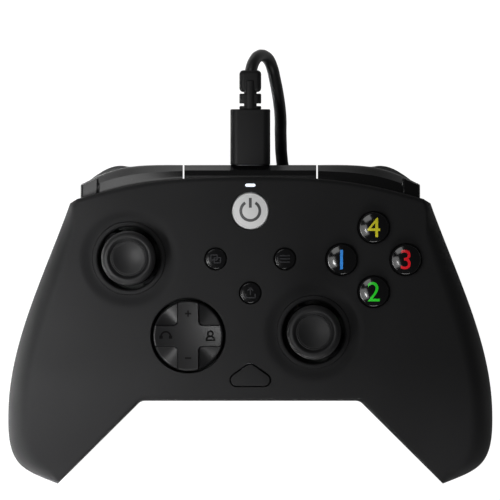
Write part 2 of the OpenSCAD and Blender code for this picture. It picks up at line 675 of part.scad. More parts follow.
// Inner frame: carries the board, the trigger pins, the bumper pins and the motors
motor_at = [half_w - 27.5, notch_y + 4, frame_low - motor_d / 2 - 0.5];
cradle_wall = 1.6;
module ear(x) translate([x, 0, 0]) rotate([90, 0, 90]) difference() {
    union() {
        linear_extrude(ear_t) polygon([[board_y - 3, frame_low], [trigger_axis.x, frame_low],
            [trigger_axis.x, trigger_axis.y + 2.6], [board_y - 3, frame_top]]);
        translate([trigger_axis.x, trigger_axis.y, 0]) cylinder(r = 2.6, h = ear_t);
    }
    translate([trigger_axis.x, trigger_axis.y, -1]) cylinder(r = trigger_pin_d / 2 + fit, h = ear_t + 2);
}
module inner_frame() color(frame_grey) difference() {
    pad_z = bumper_low - 0.3;
    frame_half = board_low_half - 2;
    motor_arm_w = 6;
    trigger_arm_w = 9;
    union() {
        translate([-frame_half, frame_boss_at[1].y, frame_low])
            cube([2 * frame_half, board_y - frame_boss_at[1].y, frame_t]);
        translate([-bridge_half + 3, board_y - 1, frame_low]) cube([2 * bridge_half - 6, 8, frame_t]);
        both_sides() {
            translate([frame_half - 4, frame_boss_at[1].y - motor_arm_w, frame_low])
                cube([motor_at.x + motor_l / 2 - frame_half + 4, motor_arm_w, frame_t]);
            translate([frame_half - 1, board_y - trigger_arm_w, frame_low])
                cube([trigger_out + ear_gap + ear_t - frame_half + 1, trigger_arm_w, frame_t]);
            translate([frame_boss_at[1].x, frame_boss_at[1].y, frame_low]) cylinder(r = boss_r + 1, h = frame_t);
            ear(trigger_in - ear_gap - ear_t);
            ear(trigger_out + ear_gap);
            translate([bumper_hinge.x, bumper_hinge.y, trigger_axis.y]) {
                cylinder(r = hinge_pad_r, h = pad_z - trigger_axis.y);
                cylinder(r = bumper_pin_r, h = pad_z - trigger_axis.y + hinge_h - 1.2);
            }
            translate([motor_at.x - motor_l / 2 + 1, motor_at.y - motor_d / 2 - cradle_wall, motor_at.z])
                cube([motor_l - 2, motor_d + 2 * cradle_wall, frame_low - motor_at.z + frame_t]);
            for (y = [frame_boss_at[1].y + 8, board_y - 7]) translate([14, y, frame_low]) cylinder(r = 2, h = frame_t + standoff_h);
        }
    }
    both_sides() {
        for (p = frame_boss_at) translate([p.x, p.y, frame_low - 1]) cylinder(r = screw_r + 0.15, h = 5);
        translate(motor_at) pin_x(motor_d / 2 + fit, 2 * motor_l);
        translate([trigger_in - 5, trigger_axis.x, trigger_axis.y]) rotate([0, 90, 0])
            cylinder(r = trigger_pin_d / 2 + fit, h = 8);
    }
}
switch_x = shoulder.x - 7.5;
switch_size = [6, 3.6, 4];
switch_gap = 1.9;
module bumper_switches() color(frame_grey) both_sides() translate([switch_x, board_y - 4, board_top]) {
    translate([-switch_size.x / 2, 0, 0]) cube(switch_size);
    translate([0, switch_size.y, switch_size.z / 2]) rotate([-90, 0, 0])
        cylinder(r = 1, h = arch_y(switch_x) - bumper_tuck - switch_gap - (board_y - 4) - switch_size.y);
}

// Rumble motors and their eccentric weights
weight_l = 5;
motor_shaft_r = 1;
module motor() translate(motor_at) difference() {
    pin_x(motor_d / 2, motor_l);
    translate([motor_l / 2, 0, 0]) pin_x(motor_shaft_r + fit, 12);
}
module motor_weight(r) translate(motor_at + [motor_l / 2 + 1, 0, 0]) {
    difference() {
        rotate([0, 90, 0]) cylinder(r = r, h = weight_l);
        translate([-1, -r - 1, 1.6]) cube([weight_l + 2, 2 * r + 2, r + 1]);
    }
    rotate([0, 90, 0]) cylinder(r = 2.4, h = weight_l);
    translate([-5, 0, 0]) rotate([0, 90, 0]) cylinder(r = motor_shaft_r, h = weight_l + 5);
}
module right_motor() color(steel) motor();
module left_motor() color(steel) mirror([1, 0, 0]) motor();
module right_motor_weight() color(steel) motor_weight(right_weight_r);
module left_motor_weight() color(steel) mirror([1, 0, 0]) motor_weight(left_weight_r);

// Sockets and screws
tongue = [8.3, 2.5];
module usb_socket() color(steel) translate([-socket_size.x / 2, socket_y, board_top]) difference() {
    cube(socket_size);
    translate([(socket_size.x - tongue.x) / 2 - 0.15, 2, (socket_size.z - tongue.y) / 2 - 0.15])
        cube([tongue.x + 0.3, socket_size.y, tongue.y + 0.3]);
}
jack_l = 14;
jack_body = [6.8, 12];
module audio_jack() color(frame_grey) difference() {
    union() {
        translate([-jack_body.x / 2, notch_y + wall + 0.2, jack_z - 2.6])
            cube([jack_body.x, jack_body.y, board_low - jack_z + 2.6]);
        translate([0, notch_y + wall + 1, jack_z]) rotate([90, 0, 0]) cylinder(r = jack_nose_r, h = wall + 1);
    }
    translate([0, notch_y + jack_l, jack_z]) rotate([90, 0, 0]) cylinder(r = jack_d / 2 + fit, h = jack_l + 1);
}
module screw(z, l) translate([0, 0, z]) {
    cylinder(r = head_r, h = head_h);
    cylinder(r = screw_r, h = l);
}
module case_screws() color(steel) both_sides() for (p = case_boss_at) translate([p.x, p.y, 0])
    screw(back_level(p) + screw_seat - head_h, joint_level(p) - back_level(p) - screw_seat + head_h + 7);
module frame_screws() color(steel) both_sides() for (p = frame_boss_at) translate([p.x, p.y, 0])
    screw(frame_low - head_h, head_h + frame_t + 7);

// Lead: plug, strain relief, free stretches, coil under the belly, tie and far plug
cord_r = cord_d / 2;
plug_size = [12.6, 17.4, 6.4];
plug_y = top_y + 0.1;
relief_l = 9.1;
relief_r = 3.45;
relief_y = plug_y + plug_size.y;
module usb_c_plug() color(gloss_black) {
    translate([-plug_size.x / 2, plug_y, port_z - plug_size.z / 2]) cube(plug_size);
    translate([-tongue.x / 2, socket_y + 2.2, port_z - tongue.y / 2])
        cube([tongue.x, plug_y - socket_y - 2.2, tongue.y]);
}
module strain_relief() color(gloss_black) translate([0, relief_y, port_z]) rotate([-90, 0, 0]) difference() {
    cylinder(r = relief_r, h = relief_l);
    for (z = [1, 5]) translate([0, 0, z]) difference() {
        cylinder(r = relief_r + 1, h = 1.2);
        translate([0, 0, -1]) cylinder(r = cord_r + 0.1, h = 4);
    }
}
// The loop that shows past the relief is placed from the relief's end, the run below from the coil
lead_loop = [
    [0, 0, 0], [0, 1, 0], [0.6, 4.4, -0.8], [2.3, 7.2, -3], [4.6, 8.2, -6.2], [6.9, 7.2, -9.2],
    [8.6, 4.4, -11.4], [9.2, 0.6, -12.4], [9.4, -4.4, -13.4], [9.5, -8.8, -16.2], [9.6, -12.4, -20.2]];
lead_run = [
    [9.6, 61.4, 12.1], [9.7, 58, 7.7], [9.9, 53.8, 4.3], [10.6, 49.2, 2.5], [12.4, 44.6, 2.1],
    [15.4, 40.4, 2.1], [19.2, 36.6, 2.1], [23.2, 32.8, 2.1], [26.8, 28.2, 2.2], [29.6, 23.2, 2.5],
    [30.8, 18.8, 2.7], [31, 16, 2.8], [31, 14.8, 2.8]];
lead_points = concat([for (p = lead_loop) p + [0, relief_y + relief_l, port_z]], lead_run);
tail_points = [
    [31, 7.2, 15.7], [31, 4, 15.7], [31.3, 0, 15.2], [31.9, -4.2, 13.3], [32.6, -8.2, 10.2], [34.2, -12, 7],
    [37.2, -14.8, 4.6], [41, -15.6, 3.2], [44.6, -13.4, 2.8], [46.2, -9.4, 3.4], [46.4, -5, 4], [46.4, -1, 4]];
coil_at = [0, 11];
coil_r = 31;
coil_low = 2.8;
coil_rings = 24;
coil_sides = 6;
cord_sides = 8;
function unit(v) = v / norm(v);
function heading(p, i) = unit(p[min(i + 1, len(p) - 1)] - p[max(i - 1, 0)]);
function ring(at, a, b, r, n) = [for (i = [0:n - 1]) at + r * (cos(360 * i / n) * a + sin(360 * i / n) * b)];
// Loops round a list of points, each square to the route
function tube_rings(p, across, sides) = [for (i = [0:len(p) - 1])
    let (t = heading(p, i), a = unit(cross(t, across)), b = cross(a, t)) ring(p[i], a, b, cord_r, sides)];
// The coil spirals in, out, in and out again, and climbs in the half turn where it reverses
coil_end = 4 * coil_turns;
function coil_radius(u) = let (layer = min(3, floor(u / coil_turns)), v = u - layer * coil_turns)
    coil_r - coil_step * (layer % 2 == 0 ? v : coil_turns - v);
function coil_height(u) = coil_low + coil_layer * (ease((u - coil_turns) * 2 + 0.5)
    + ease((u - 2 * coil_turns) * 2 + 0.5) + ease((u - 3 * coil_turns) * 2 + 0.5));
function coil_point(u) = [coil_at.x + coil_radius(u) * cos(360 * u), coil_at.y - coil_radius(u) * sin(360 * u),
    coil_height(u)];
coil_points = concat([coil_point(0) + [0, cord_d, 0]],
    [for (i = [0:coil_end * coil_rings]) coil_point(i / coil_rings)], [coil_point(coil_end) - [0, cord_d, 0]]);
function route_length(p, i = 0, sum = 0) = i >= len(p) - 1 ? sum
    : route_length(p, i + 1, sum + norm(p[i + 1] - p[i]));
half_turn = coil_rings / 2;
coil_gap = min([for (i = [0:len(coil_points) - half_turn - 1])
    min([for (j = [i + half_turn:len(coil_points) - 1]) norm(coil_points[i] - coil_points[j])])]) - cord_d;
echo(least_coil_gap = coil_gap);
echo(cord_length = route_length(lead_points) + route_length(coil_points) + route_length(tail_points));
module cord_lead() color(gloss_black) loft(tube_rings(lead_points, [1, 0, 0], cord_sides));
module cord_tail() color(gloss_black) loft(tube_rings(tail_points, [0, 0, 1], cord_sides));
module cord_coil() color(gloss_black) loft(tube_rings(coil_points, [0, 0, 1], coil_sides));
module cable_tie() color(rubber_grey) {
    tie_t = 0.6;
    tie_w = 5;
    slack = 0.3;
    inner_x = coil_r - coil_step * coil_turns - cord_r - slack;
    outer_x = coil_r + cord_r + slack;
    top_z = coil_height(coil_end) + cord_r + slack;
    low_z = coil_low - cord_r - slack;
    difference() {
        translate([coil_at.x - outer_x - tie_t, coil_at.y - tie_w / 2, low_z - tie_t])
            cube([outer_x - inner_x + 2 * tie_t, tie_w, top_z - low_z + 2 * tie_t]);
        translate([coil_at.x - outer_x, coil_at.y - tie_w, low_z])
            cube([outer_x - inner_x, 2 * tie_w, top_z - low_z]);
    }
}
far_plug_size = [16, 22, 8];
far_shell_size = [12, 12, 4.5];
module usb_a_plug() {
    end = tail_points[len(tail_points) - 1];
    color(gloss_black) translate([end.x - far_plug_size.x / 2, end.y, end.z - far_plug_size.z / 2]) cube(far_plug_size);
    color(steel) translate([end.x - far_shell_size.x / 2, end.y + far_plug_size.y, end.z - far_shell_size.z / 2])
        cube(far_shell_size);
}

front_shell();
back_shell();
top_bridge();
left_bumper();
right_bumper();
left_trigger();
right_trigger();
left_trigger_pin();
right_trigger_pin();
left_stick_cap();
right_stick_cap();
left_stick_shaft();
right_stick_shaft();
left_stick_pivot();
right_stick_pivot();
left_stick_yoke();
right_stick_yoke();
left_stick_housing();
right_stick_housing();
stick_sensors();
stick_click_switches();
dpad_cap();
dpad_carrier();
dpad_post();
button_west();
button_south();
button_east();
button_north();
view_button();
menu_button();
share_button();
guide_button();
function_button();
status_light();
face_membrane();
dpad_membrane();
menu_membrane();
main_board();
inner_frame();
bumper_switches();
left_motor();
right_motor();
left_motor_weight();
right_motor_weight();
usb_socket();
audio_jack();
case_screws();
frame_screws();
usb_c_plug();
strain_relief();
cord_lead();
cord_coil();
cord_tail();
cable_tie();
usb_a_plug();
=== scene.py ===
"""Visual model of a wired gamepad: case, controls, lead and studio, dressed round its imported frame."""

from __future__ import annotations

import itertools
import logging
import math
from collections.abc import Callable, Iterable, Mapping, Sequence
from dataclasses import dataclass
from enum import Enum

import bmesh
import bpy
from mathutils import Matrix, Vector

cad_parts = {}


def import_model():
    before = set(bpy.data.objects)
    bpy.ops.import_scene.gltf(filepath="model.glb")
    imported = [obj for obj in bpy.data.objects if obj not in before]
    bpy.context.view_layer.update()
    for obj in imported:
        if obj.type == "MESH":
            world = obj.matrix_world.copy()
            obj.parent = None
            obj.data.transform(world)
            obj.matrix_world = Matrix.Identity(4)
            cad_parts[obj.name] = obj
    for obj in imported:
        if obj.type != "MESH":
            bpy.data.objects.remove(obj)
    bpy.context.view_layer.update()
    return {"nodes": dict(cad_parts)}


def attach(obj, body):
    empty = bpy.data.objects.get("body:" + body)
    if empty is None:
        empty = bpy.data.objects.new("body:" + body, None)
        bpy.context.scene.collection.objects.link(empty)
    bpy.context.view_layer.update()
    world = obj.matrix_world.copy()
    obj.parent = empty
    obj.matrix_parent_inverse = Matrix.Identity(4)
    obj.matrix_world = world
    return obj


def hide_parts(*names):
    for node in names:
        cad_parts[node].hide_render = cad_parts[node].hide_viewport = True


LOG = logging.getLogger("gamepad")
MM = 0.001
SMOOTH_ANGLE = math.radians(27)
PORT_Z = 36.7

Plan = tuple[float, float]
Profile = Sequence[Plan]
Colour = tuple[float, float, float]

WHITE: Colour = (1.0, 1.0, 1.0)


class Body(str, Enum):
    """Moving bodies of the frame that new pieces ride on."""

    CASE = "case"
    LEFT_BUMPER = "left_bumper"
    RIGHT_BUMPER = "right_bumper"
    LEFT_TRIGGER = "left_trigger"
    RIGHT_TRIGGER = "right_trigger"
    LEFT_STICK = "left_stick"
    RIGHT_STICK = "right_stick"
    DPAD = "dpad"
    VIEW = "view_button"
    MENU = "menu_button"
    SHARE = "share_button"
    GUIDE = "guide_button"
    FUNCTION = "function_button"
    WEST = "button_west"
    SOUTH = "button_south"
    EAST = "button_east"
    NORTH = "button_north"


def clamp(value: float) -> float:
    """Keep a value between 0 and 1."""
    return max(0.0, min(1.0, value))


def mix(a: float, b: float, share: float) -> float:
    """Go a share of the way from a to b."""
    return a + (b - a) * share


def mix_plan(a: Plan, b: Plan, share: float) -> Plan:
    """Go a share of the way from one plan point to another."""
    return mix(a[0], b[0], share), mix(a[1], b[1], share)


def ease(value: float) -> float:
    """Rise smoothly from 0 to 1."""
    t = clamp(value)
    return t * t * (3 - 2 * t)


def bezier(points: Profile, t: float) -> Plan:
    """Point of a cubic curve.

    Args:
        points: The curve's four control points.
        t: Place along the curve, from 0 to 1.

    Returns:
        The plan point there.
    """
    weights = ((1 - t) ** 3, 3 * t * (1 - t) ** 2, 3 * t * t * (1 - t), t**3)
    return (
        sum(w * p[0] for w, p in zip(weights, points)),
        sum(w * p[1] for w, p in zip(weights, points)),
    )


def curve(points: Profile, steps: int) -> list[Plan]:
    """Points along a cubic curve, both ends included."""
    return [bezier(points, i / steps) for i in range(steps + 1)]


def arc(centre: Plan, radius: float, start: float, stop: float, steps: int) -> list[Plan]:
    """Points along a circular arc.

    Args:
        centre: Middle of the circle.
        radius: Radius of the circle.
        start: First angle in degrees.
        stop: Last angle in degrees.
        steps: Number of chords.

    Returns:
        The points, both ends included.
    """
    angles = [math.radians(mix(start, stop, i / steps)) for i in range(steps + 1)]
    return [(centre[0] + radius * math.cos(a), centre[1] + radius * math.sin(a)) for a in angles]


def rounded_outline(corners: Sequence[tuple[float, float, float]], steps: int = 8) -> list[Plan]:
    """Closed convex outline round a few circles.

    Args:
        corners: Centre and radius of each corner, counter-clockwise.
        steps: Chords in each corner.

    Returns:
        The outline's points, counter-clockwise.
    """
    points: list[Plan] = []
    count = len(corners)
    for i, (x, y, r) in enumerate(corners):
        before, after = corners[i - 1], corners[(i + 1) % count]
        start = _tangent_angle(before, (x, y, r))
        stop = _tangent_angle((x, y, r), after)
        while stop < start:
            stop += 360
        points += arc((x, y), r, start, stop, steps)
    return points


def _tangent_angle(a: tuple[float, float, float], b: tuple[float, float, float]) -> float:
    """Direction, in degrees, from a circle's middle to where its outer tangent to the next one touches."""
    dx, dy = b[0] - a[0], b[1] - a[1]
    lean = math.asin(max(-1.0, min(1.0, (a[2] - b[2]) / math.hypot(dx, dy))))
    return math.degrees(math.atan2(dy, dx) - math.pi / 2 + lean)


class Blank:
    """A mesh being shaped, in millimetres in the part's frame."""

    def __init__(self) -> None:
        """Start with nothing."""
        self.mesh = bmesh.new()

    def turn(self, profile: Profile, steps: int = 96) -> Blank:
        """Turn a profile about the upright axis.

        Args:
            profile: Radius and height of each point.
            steps: Number of steps in the full turn.

        Returns:
            This blank.
        """
        verts = [self.mesh.verts.new((r, 0, z)) for r, z in profile]
        edges = [self.mesh.edges.new(pair) for pair in zip(verts, verts[1:])]
        bmesh.ops.spin(
            self.mesh, geom=verts + edges, cent=(0, 0, 0), axis=(0, 0, 1), dvec=(0, 0, 0),
            angle=math.tau, steps=steps, use_merge=True, use_duplicate=False,
        )
        return self.settle()

    def sheet(self, rows: Sequence[Sequence[Vector]]) -> list[list[bmesh.types.BMVert]]:
        """Lay a grid over rows of points.

        Args:
            rows: Equal rows of points.

        Returns:
            The grid's vertices, in the same rows.
        """
        across = len(rows[0])
        made = bmesh.ops.create_grid(
            self.mesh, x_segments=across - 1, y_segments=len(rows) - 1, size=1.0
        )["verts"]
        for vert, point in zip(made, (p for row in rows for p in row)):
            vert.co = point
        return [made[i * across : (i + 1) * across] for i in range(len(rows))]

    def loft(self, loops: Sequence[Sequence[Vector]]) -> Blank:
        """Close a solid through equal closed loops, with a flat face at each end.

        Args:
            loops: Closed loops in order along the solid.

        Returns:
            This blank.
        """
        grid = self.sheet([[*loop, loop[0]] for loop in loops])
        for row in (grid[0], grid[-1]):
            self.mesh.faces.new(row[:-1])
        return self.settle()

    def prism(self, outline: Profile, low: float, high: float) -> Blank:
        """Raise a closed outline into a solid between two heights."""
        verts = [self.mesh.verts.new((x, y, low)) for x, y in outline]
        face = self.mesh.faces.new(verts)
        made = bmesh.ops.extrude_face_region(self.mesh, geom=[face], use_keep_orig=True)["geom"]
        top = [v for v in made if isinstance(v, bmesh.types.BMVert)]
        bmesh.ops.translate(self.mesh, vec=(0, 0, high - low), verts=top)
        return self.settle()

    def box(self, low: Sequence[float], high: Sequence[float]) -> Blank:
        """Add a block between two corners."""
        size = [b - a for a, b in zip(low, high)]
        centre = [(a + b) / 2 for a, b in zip(low, high)]
        place = Matrix.Translation(centre) @ Matrix.Diagonal((*size, 1))
        bmesh.ops.create_cube(self.mesh, size=1.0, matrix=place)
        return self

    def round_edges(self, width: float, segments: int = 4, least_angle: float = 40) -> Blank:
        """Bevel every edge that is sharper than an angle.

        Args:
            width: Width of the rounding.
            segments: Steps across the rounding.
            least_angle: Angle in degrees past which an edge is rounded.

        Returns:
            This blank.
        """
        limit = math.radians(least_angle)
        edges = [e for e in self.mesh.edges if e.is_manifold and e.calc_face_angle(0) > limit]
        bmesh.ops.bevel(
            self.mesh, geom=edges, offset=width, offset_type="OFFSET", affect="EDGES",
            segments=segments, profile=0.5, material=-1, clamp_overlap=True,
        )
        return self

    def absorb(self, other: Blank) -> Blank:
        """Take in another blank's mesh and end that blank."""
        scratch = bpy.data.meshes.new("scratch")
        other.mesh.to_mesh(scratch)
        other.mesh.free()
        self.mesh.from_mesh(scratch)
        bpy.data.meshes.remove(scratch)
        return self

    def cut(self, axis: int, place: float) -> Blank:
        """Cut every face along the plane that is square to an axis at a place on it."""
        at, normal = Vector((0, 0, 0)), Vector((0, 0, 0))
        at[axis], normal[axis] = place, 1.0
        geom = [*self.mesh.verts, *self.mesh.edges, *self.mesh.faces]
        bmesh.ops.bisect_plane(self.mesh, geom=geom, plane_co=at, plane_no=normal)
        return self

    def slice_grid(self, step: float) -> Blank:
        """Cut every face along a square grid so that it can follow a curved surface."""
        for axis in (0, 1):
            values = [v.co[axis] for v in self.mesh.verts]
            place = min(values) + step
            while place < max(values):
                self.cut(axis, place)
                place += step
        return self

    def move(self, place: Matrix) -> Blank:
        """Place the whole blank by a matrix."""
        bmesh.ops.transform(self.mesh, matrix=place, verts=self.mesh.verts)
        return self

    def shift(self, x: float, y: float, z: float) -> Blank:
        """Slide the whole blank."""
        return self.move(Matrix.Translation((x, y, z)))

    def flip(self) -> Blank:
        """Mirror the whole blank in X and turn its faces outwards again."""
        self.move(Matrix.Diagonal((-1, 1, 1, 1)))
        return self.settle()

    def settle(self) -> Blank:
        """Merge doubles and turn the faces outwards."""
        bmesh.ops.remove_doubles(self.mesh, verts=self.mesh.verts, dist=1e-4)
        bmesh.ops.recalc_face_normals(self.mesh, faces=self.mesh.faces)
        return self

    def make(self, name: str) -> bpy.types.Object:
        """Turn the blank into an object in metres, at the origin, shaded smooth up to a sharp angle.

        Args:
            name: Name of the object.

        Returns:
            The object, linked to the scene.
        """
        bmesh.ops.scale(self.mesh, vec=(MM, MM, MM), verts=self.mesh.verts)
        data = bpy.data.meshes.new(name)
        self.mesh.to_mesh(data)
        self.mesh.free()
        made = bpy.data.objects.new(name, data)
        bpy.context.scene.collection.objects.link(made)
        shade(made)
        return made


def shade(made: bpy.types.Object) -> None:
    """Shade an object smooth, with its sharp edges kept."""
    made.data.shade_smooth()
    made.data.set_sharp_from_angle(angle=SMOOTH_ANGLE)


def place_piece(
    made: bpy.types.Object, body: Body, finish: Finish, replaces: Iterable[str] = ()
) -> bpy.types.Object:
    """Dress a piece and tie it to the frame.

    Args:
        made: The piece.
        body: Body that it rides on.
        finish: Its finish.
        replaces: Frame nodes that it stands for.

    Returns:
        The piece.
    """
    made.data.materials.clear()
    made.data.materials.append(finish.material())
    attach(made, body.value)
    nodes = list(replaces)
    if nodes:
        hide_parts(*nodes)
    LOG.info("%s rides on %s", made.name, body.value)
    return made


def subtract(target: bpy.types.Object, cutter: bpy.types.Object) -> None:
    """Cut one closed object out of another and throw the cutter away.

    Args:
        target: Object that is cut.
        cutter: Object that is taken out of it.
    """
    change = target.modifiers.new("cut", "BOOLEAN")
    change.operation = "DIFFERENCE"
    change.solver = "MANIFOLD"
    change.object = cutter
    graph = bpy.context.evaluated_depsgraph_get()
    cut = bpy.data.meshes.new_from_object(target.evaluated_get(graph))
    target.modifiers.clear()
    target.data = cut
    bpy.data.objects.remove(cutter)
    shade(target)


class Value:
    """A node's output that takes part in expressions; each operator adds a Math node."""

    def __init__(self, sheet: NodeSheet, socket: bpy.types.NodeSocket) -> None:
        """Wrap a socket of a sheet."""
        self.sheet = sheet
        self.socket = socket

    def _math(self, operation: str, first: object, second: object) -> Value:
        """Add one Math node."""
        return self.sheet.node("ShaderNodeMath", {"operation": operation}, {0: first, 1: second})

    def __add__(self, other: object) -> Value:
        """Add."""
        return self._math("ADD", self, other)

    def __radd__(self, other: object) -> Value:
        """Add from the right."""
        return self._math("ADD", other, self)

    def __sub__(self, other: object) -> Value:
        """Subtract."""
        return self._math("SUBTRACT", self, other)

    def __rsub__(self, other: object) -> Value:
        """Subtract from a number."""
        return self._math("SUBTRACT", other, self)

    def __mul__(self, other: object) -> Value:
        """Multiply."""
        return self._math("MULTIPLY", self, other)

    def __rmul__(self, other: object) -> Value:
        """Multiply from the right."""
        return self._math("MULTIPLY", other, self)

    def above(self, level: float) -> Value:
        """1 where the value is greater than a level, 0 elsewhere."""
        return self._math("GREATER_THAN", self, level)

    def fold(self, width: float) -> Value:
        """The value run up and down between 0 and a width."""
        return self._math("PINGPONG", self, width)


class NodeSheet:
    """The node tree of one material."""

    def __init__(self, name: str) -> None:
        """Start an empty tree with the object's own coordinates at hand."""
        self.material = bpy.data.materials.new(name)
        self.material.use_nodes = True
        self.tree = self.material.node_tree
        self.tree.nodes.clear()
        self.place = self.node("ShaderNodeTexCoord", output="Object")

    def node(
        self,
        kind: str,
        settings: Mapping[str, object] | None = None,
        inputs: Mapping[str | int, object] | None = None,
        output: str | int = 0,
    ) -> Value:
        """Add a node.

        Args:
            kind: The node's type.
            settings: Its settings, set first; "stops" are a ramp's places and colours.
            inputs: Values or links of its sockets.
            output: Socket that the result stands for.

        Returns:
            That output.
        """
        made = self.tree.nodes.new(kind)
        for key, value in (settings or {}).items():
            if key == "stops":
                self.set_stops(made.color_ramp, value)
            else:
                setattr(made, key, value)
        for key, value in (inputs or {}).items():
            if isinstance(value, Value):
                self.tree.links.new(value.socket, made.inputs[key])
            else:
                made.inputs[key].default_value = value
        return Value(self, made.outputs[output] if made.outputs else made.inputs[0])

    @staticmethod
    def set_stops(ramp: bpy.types.ColorRamp, stops: Sequence[tuple[float, Colour]]) -> None:
        """Give a two-stop ramp its places and colours."""
        for element, (position, colour) in zip(ramp.elements, stops):
            element.position = position
            element.color = (*colour, 1)

    def noise(self, size: float, detail: float = 2.0, stretch: Sequence[float] = (1, 1, 1)) -> Value:
        """Soft noise.

        Args:
            size: Size of its blobs in metres.
            detail: Number of finer layers.
            stretch: Squeeze of the pattern along each axis.

        Returns:
            A value that is mostly between 0.3 and 0.7.
        """
        at = self.node("ShaderNodeMapping", inputs={"Vector": self.place, "Scale": Vector(stretch)})
        return self.node("ShaderNodeTexNoise", inputs={"Vector": at, "Scale": 1 / size, "Detail": detail})

    def blend(self, share: Value, first: object, second: object) -> Value:
        """Mix two colours by a share."""
        ends = {0: share, 6: self._colour(first), 7: self._colour(second)}
        return self.node("ShaderNodeMix", {"data_type": "RGBA"}, ends, output=2)

    @staticmethod
    def _colour(value: object) -> object:
        """A colour with its alpha, or a link as it is."""
        return value if isinstance(value, Value) else (*value, 1)

    def bump(self, height: Value, depth: float, strength: float = 1.0) -> Value:
        """Relief of a given depth in metres."""
        relief = {"Height": height, "Distance": depth, "Strength": strength}
        return self.node("ShaderNodeBump", inputs=relief)

    def shader(self, inputs: Mapping[str, object]) -> None:
        """End the tree in a plain surface shader."""
        surface = self.node("ShaderNodeBsdfPrincipled", inputs=inputs)
        self.node("ShaderNodeOutputMaterial", inputs={"Surface": surface})


def shown(red: int, green: int, blue: int) -> Colour:
    """Linear colour of a shade given as it looks on a screen, from 0 to 255."""
    ratios = [value / 255 for value in (red, green, blue)]
    linear = [c / 12.92 if c <= 0.04045 else ((c + 0.055) / 1.055) ** 2.4 for c in ratios]
    return linear[0], linear[1], linear[2]


def shaded(colour: Colour, factor: float) -> Colour:
    """A colour made lighter or darker by a factor."""
    return colour[0] * factor, colour[1] * factor, colour[2] * factor


@dataclass(frozen=True)
class Finish:
    """A moulded surface: one colour with soft drift, a moulded grain and hand-worn patches."""

    name: str
    colour: Colour
    roughness: float
    grain: float = 0.0004
    depth: float = 0.00001
    drift: float = 0.12
    patch: float = 0.08
    metallic: float = 0.0
    coat: float = 0.0
    coat_roughness: float = 0.1
    gloss_level: float = 0.5

    def material(self) -> bpy.types.Material:
        """The finish's material, made on first use."""
        return bpy.data.materials.get(self.name) or self._build()

    def _build(self) -> bpy.types.Material:
        """Make the material."""
        sheet = NodeSheet(self.name)
        sheet.shader({**self.plain(), **self.detail(sheet)})
        return sheet.material

    def plain(self) -> dict[str, object]:
        """Numbers that are the same all over the surface."""
        return {
            "Metallic": self.metallic,
            "Coat Weight": self.coat,
            "Coat Roughness": self.coat_roughness,
            "Specular IOR Level": self.gloss_level,
        }

    def detail(self, sheet: NodeSheet) -> dict[str, object]:
        """What changes over the surface.

        Args:
            sheet: Tree that the nodes go to.

        Returns:
            Links for the surface shader.
        """
        cloud = sheet.noise(0.011, 3.0)
        hand = sheet.noise(0.027, 4.0)
        grain = sheet.noise(self.grain, 2.0)
        tone = sheet.blend(cloud, shaded(self.colour, 1 - self.drift), shaded(self.colour, 1 + self.drift))
        return {
            "Base Color": tone,
            "Roughness": self.roughness + (hand - 0.5) * self.patch * 2 + (grain - 0.5) * self.patch,
            "Normal": sheet.bump(grain, self.depth),
        }


@dataclass(frozen=True)
class Polished(Finish):
    """Polished plastic: a slow ripple from the mould, dust specks and faint hairline marks."""

    def detail(self, sheet: NodeSheet) -> dict[str, object]:
        """Ripple in the normal, specks in the tone, hairlines in the roughness."""
        ripple = sheet.noise(0.006, 1.0)
        lines = sheet.noise(0.0006, 2.0, (1.0, 9.0, 9.0))
        speck = sheet.noise(0.0003, 1.0).above(0.74)
        return {
            "Base Color": sheet.blend(speck * 0.35, self.colour, shaded(self.colour, 3.0)),
            "Roughness": self.roughness + (lines - 0.5) * self.patch + speck * 0.12,
            "Normal": sheet.bump(ripple, self.depth),
        }


@dataclass(frozen=True)
class Metal(Finish):
    """Plated or pressed metal with fine drawing lines."""

    def detail(self, sheet: NodeSheet) -> dict[str, object]:
        """Lines along one axis in tone, roughness and relief."""
        lines = sheet.noise(self.grain, 3.0, (1.0, 14.0, 14.0))
        return {
            "Base Color": sheet.blend(lines, shaded(self.colour, 0.8), shaded(self.colour, 1.15)),
            "Roughness": self.roughness + (lines - 0.5) * self.patch * 2,
            "Normal": sheet.bump(lines, self.depth),
        }


@dataclass(frozen=True)
class SolderMask(Finish):
    """Circuit board: coloured mask over copper tracks, with bare pads."""

    cells: float = 260.0
    bands: float = 5.0
    track_level: float = 0.32
    pad_level: float = 0.93
    copper: Colour = (0.2, 0.15, 0.08)

    def detail(self, sheet: NodeSheet) -> dict[str, object]:
        """Tracks as bands of a cell pattern, pads as its middles."""
        cells = sheet.node(
            "ShaderNodeTexVoronoi", {"distance": "CHEBYCHEV"}, {"Vector": sheet.place, "Scale": self.cells}
        )
        tracks = (cells * self.bands).fold(0.5).above(self.track_level)
        pads = (1 - cells).above(self.pad_level)
        mask = sheet.blend(tracks, self.colour, shaded(self.colour, 1.8))
        return {
            "Base Color": sheet.blend(pads, mask, self.copper),
            "Roughness": self.roughness - pads * 0.12,
            "Metallic": pads * 0.9,
            "Normal": sheet.bump(tracks, self.depth),
        }


@dataclass(frozen=True)
class Jacket(Finish):
    """Extruded cord jacket: a slow wave from the drum and a fine grain."""

    def detail(self, sheet: NodeSheet) -> dict[str, object]:
        """Tone, roughness and relief from two scales of noise."""
        wave = sheet.noise(0.008, 2.0)
        skin = sheet.noise(self.grain, 2.0)
        return {
            "Base Color": sheet.blend(wave, shaded(self.colour, 0.85), shaded(self.colour, 1.2)),
            "Roughness": self.roughness + (wave - 0.5) * self.patch * 2,
            "Normal": sheet.bump(skin, self.depth),
        }


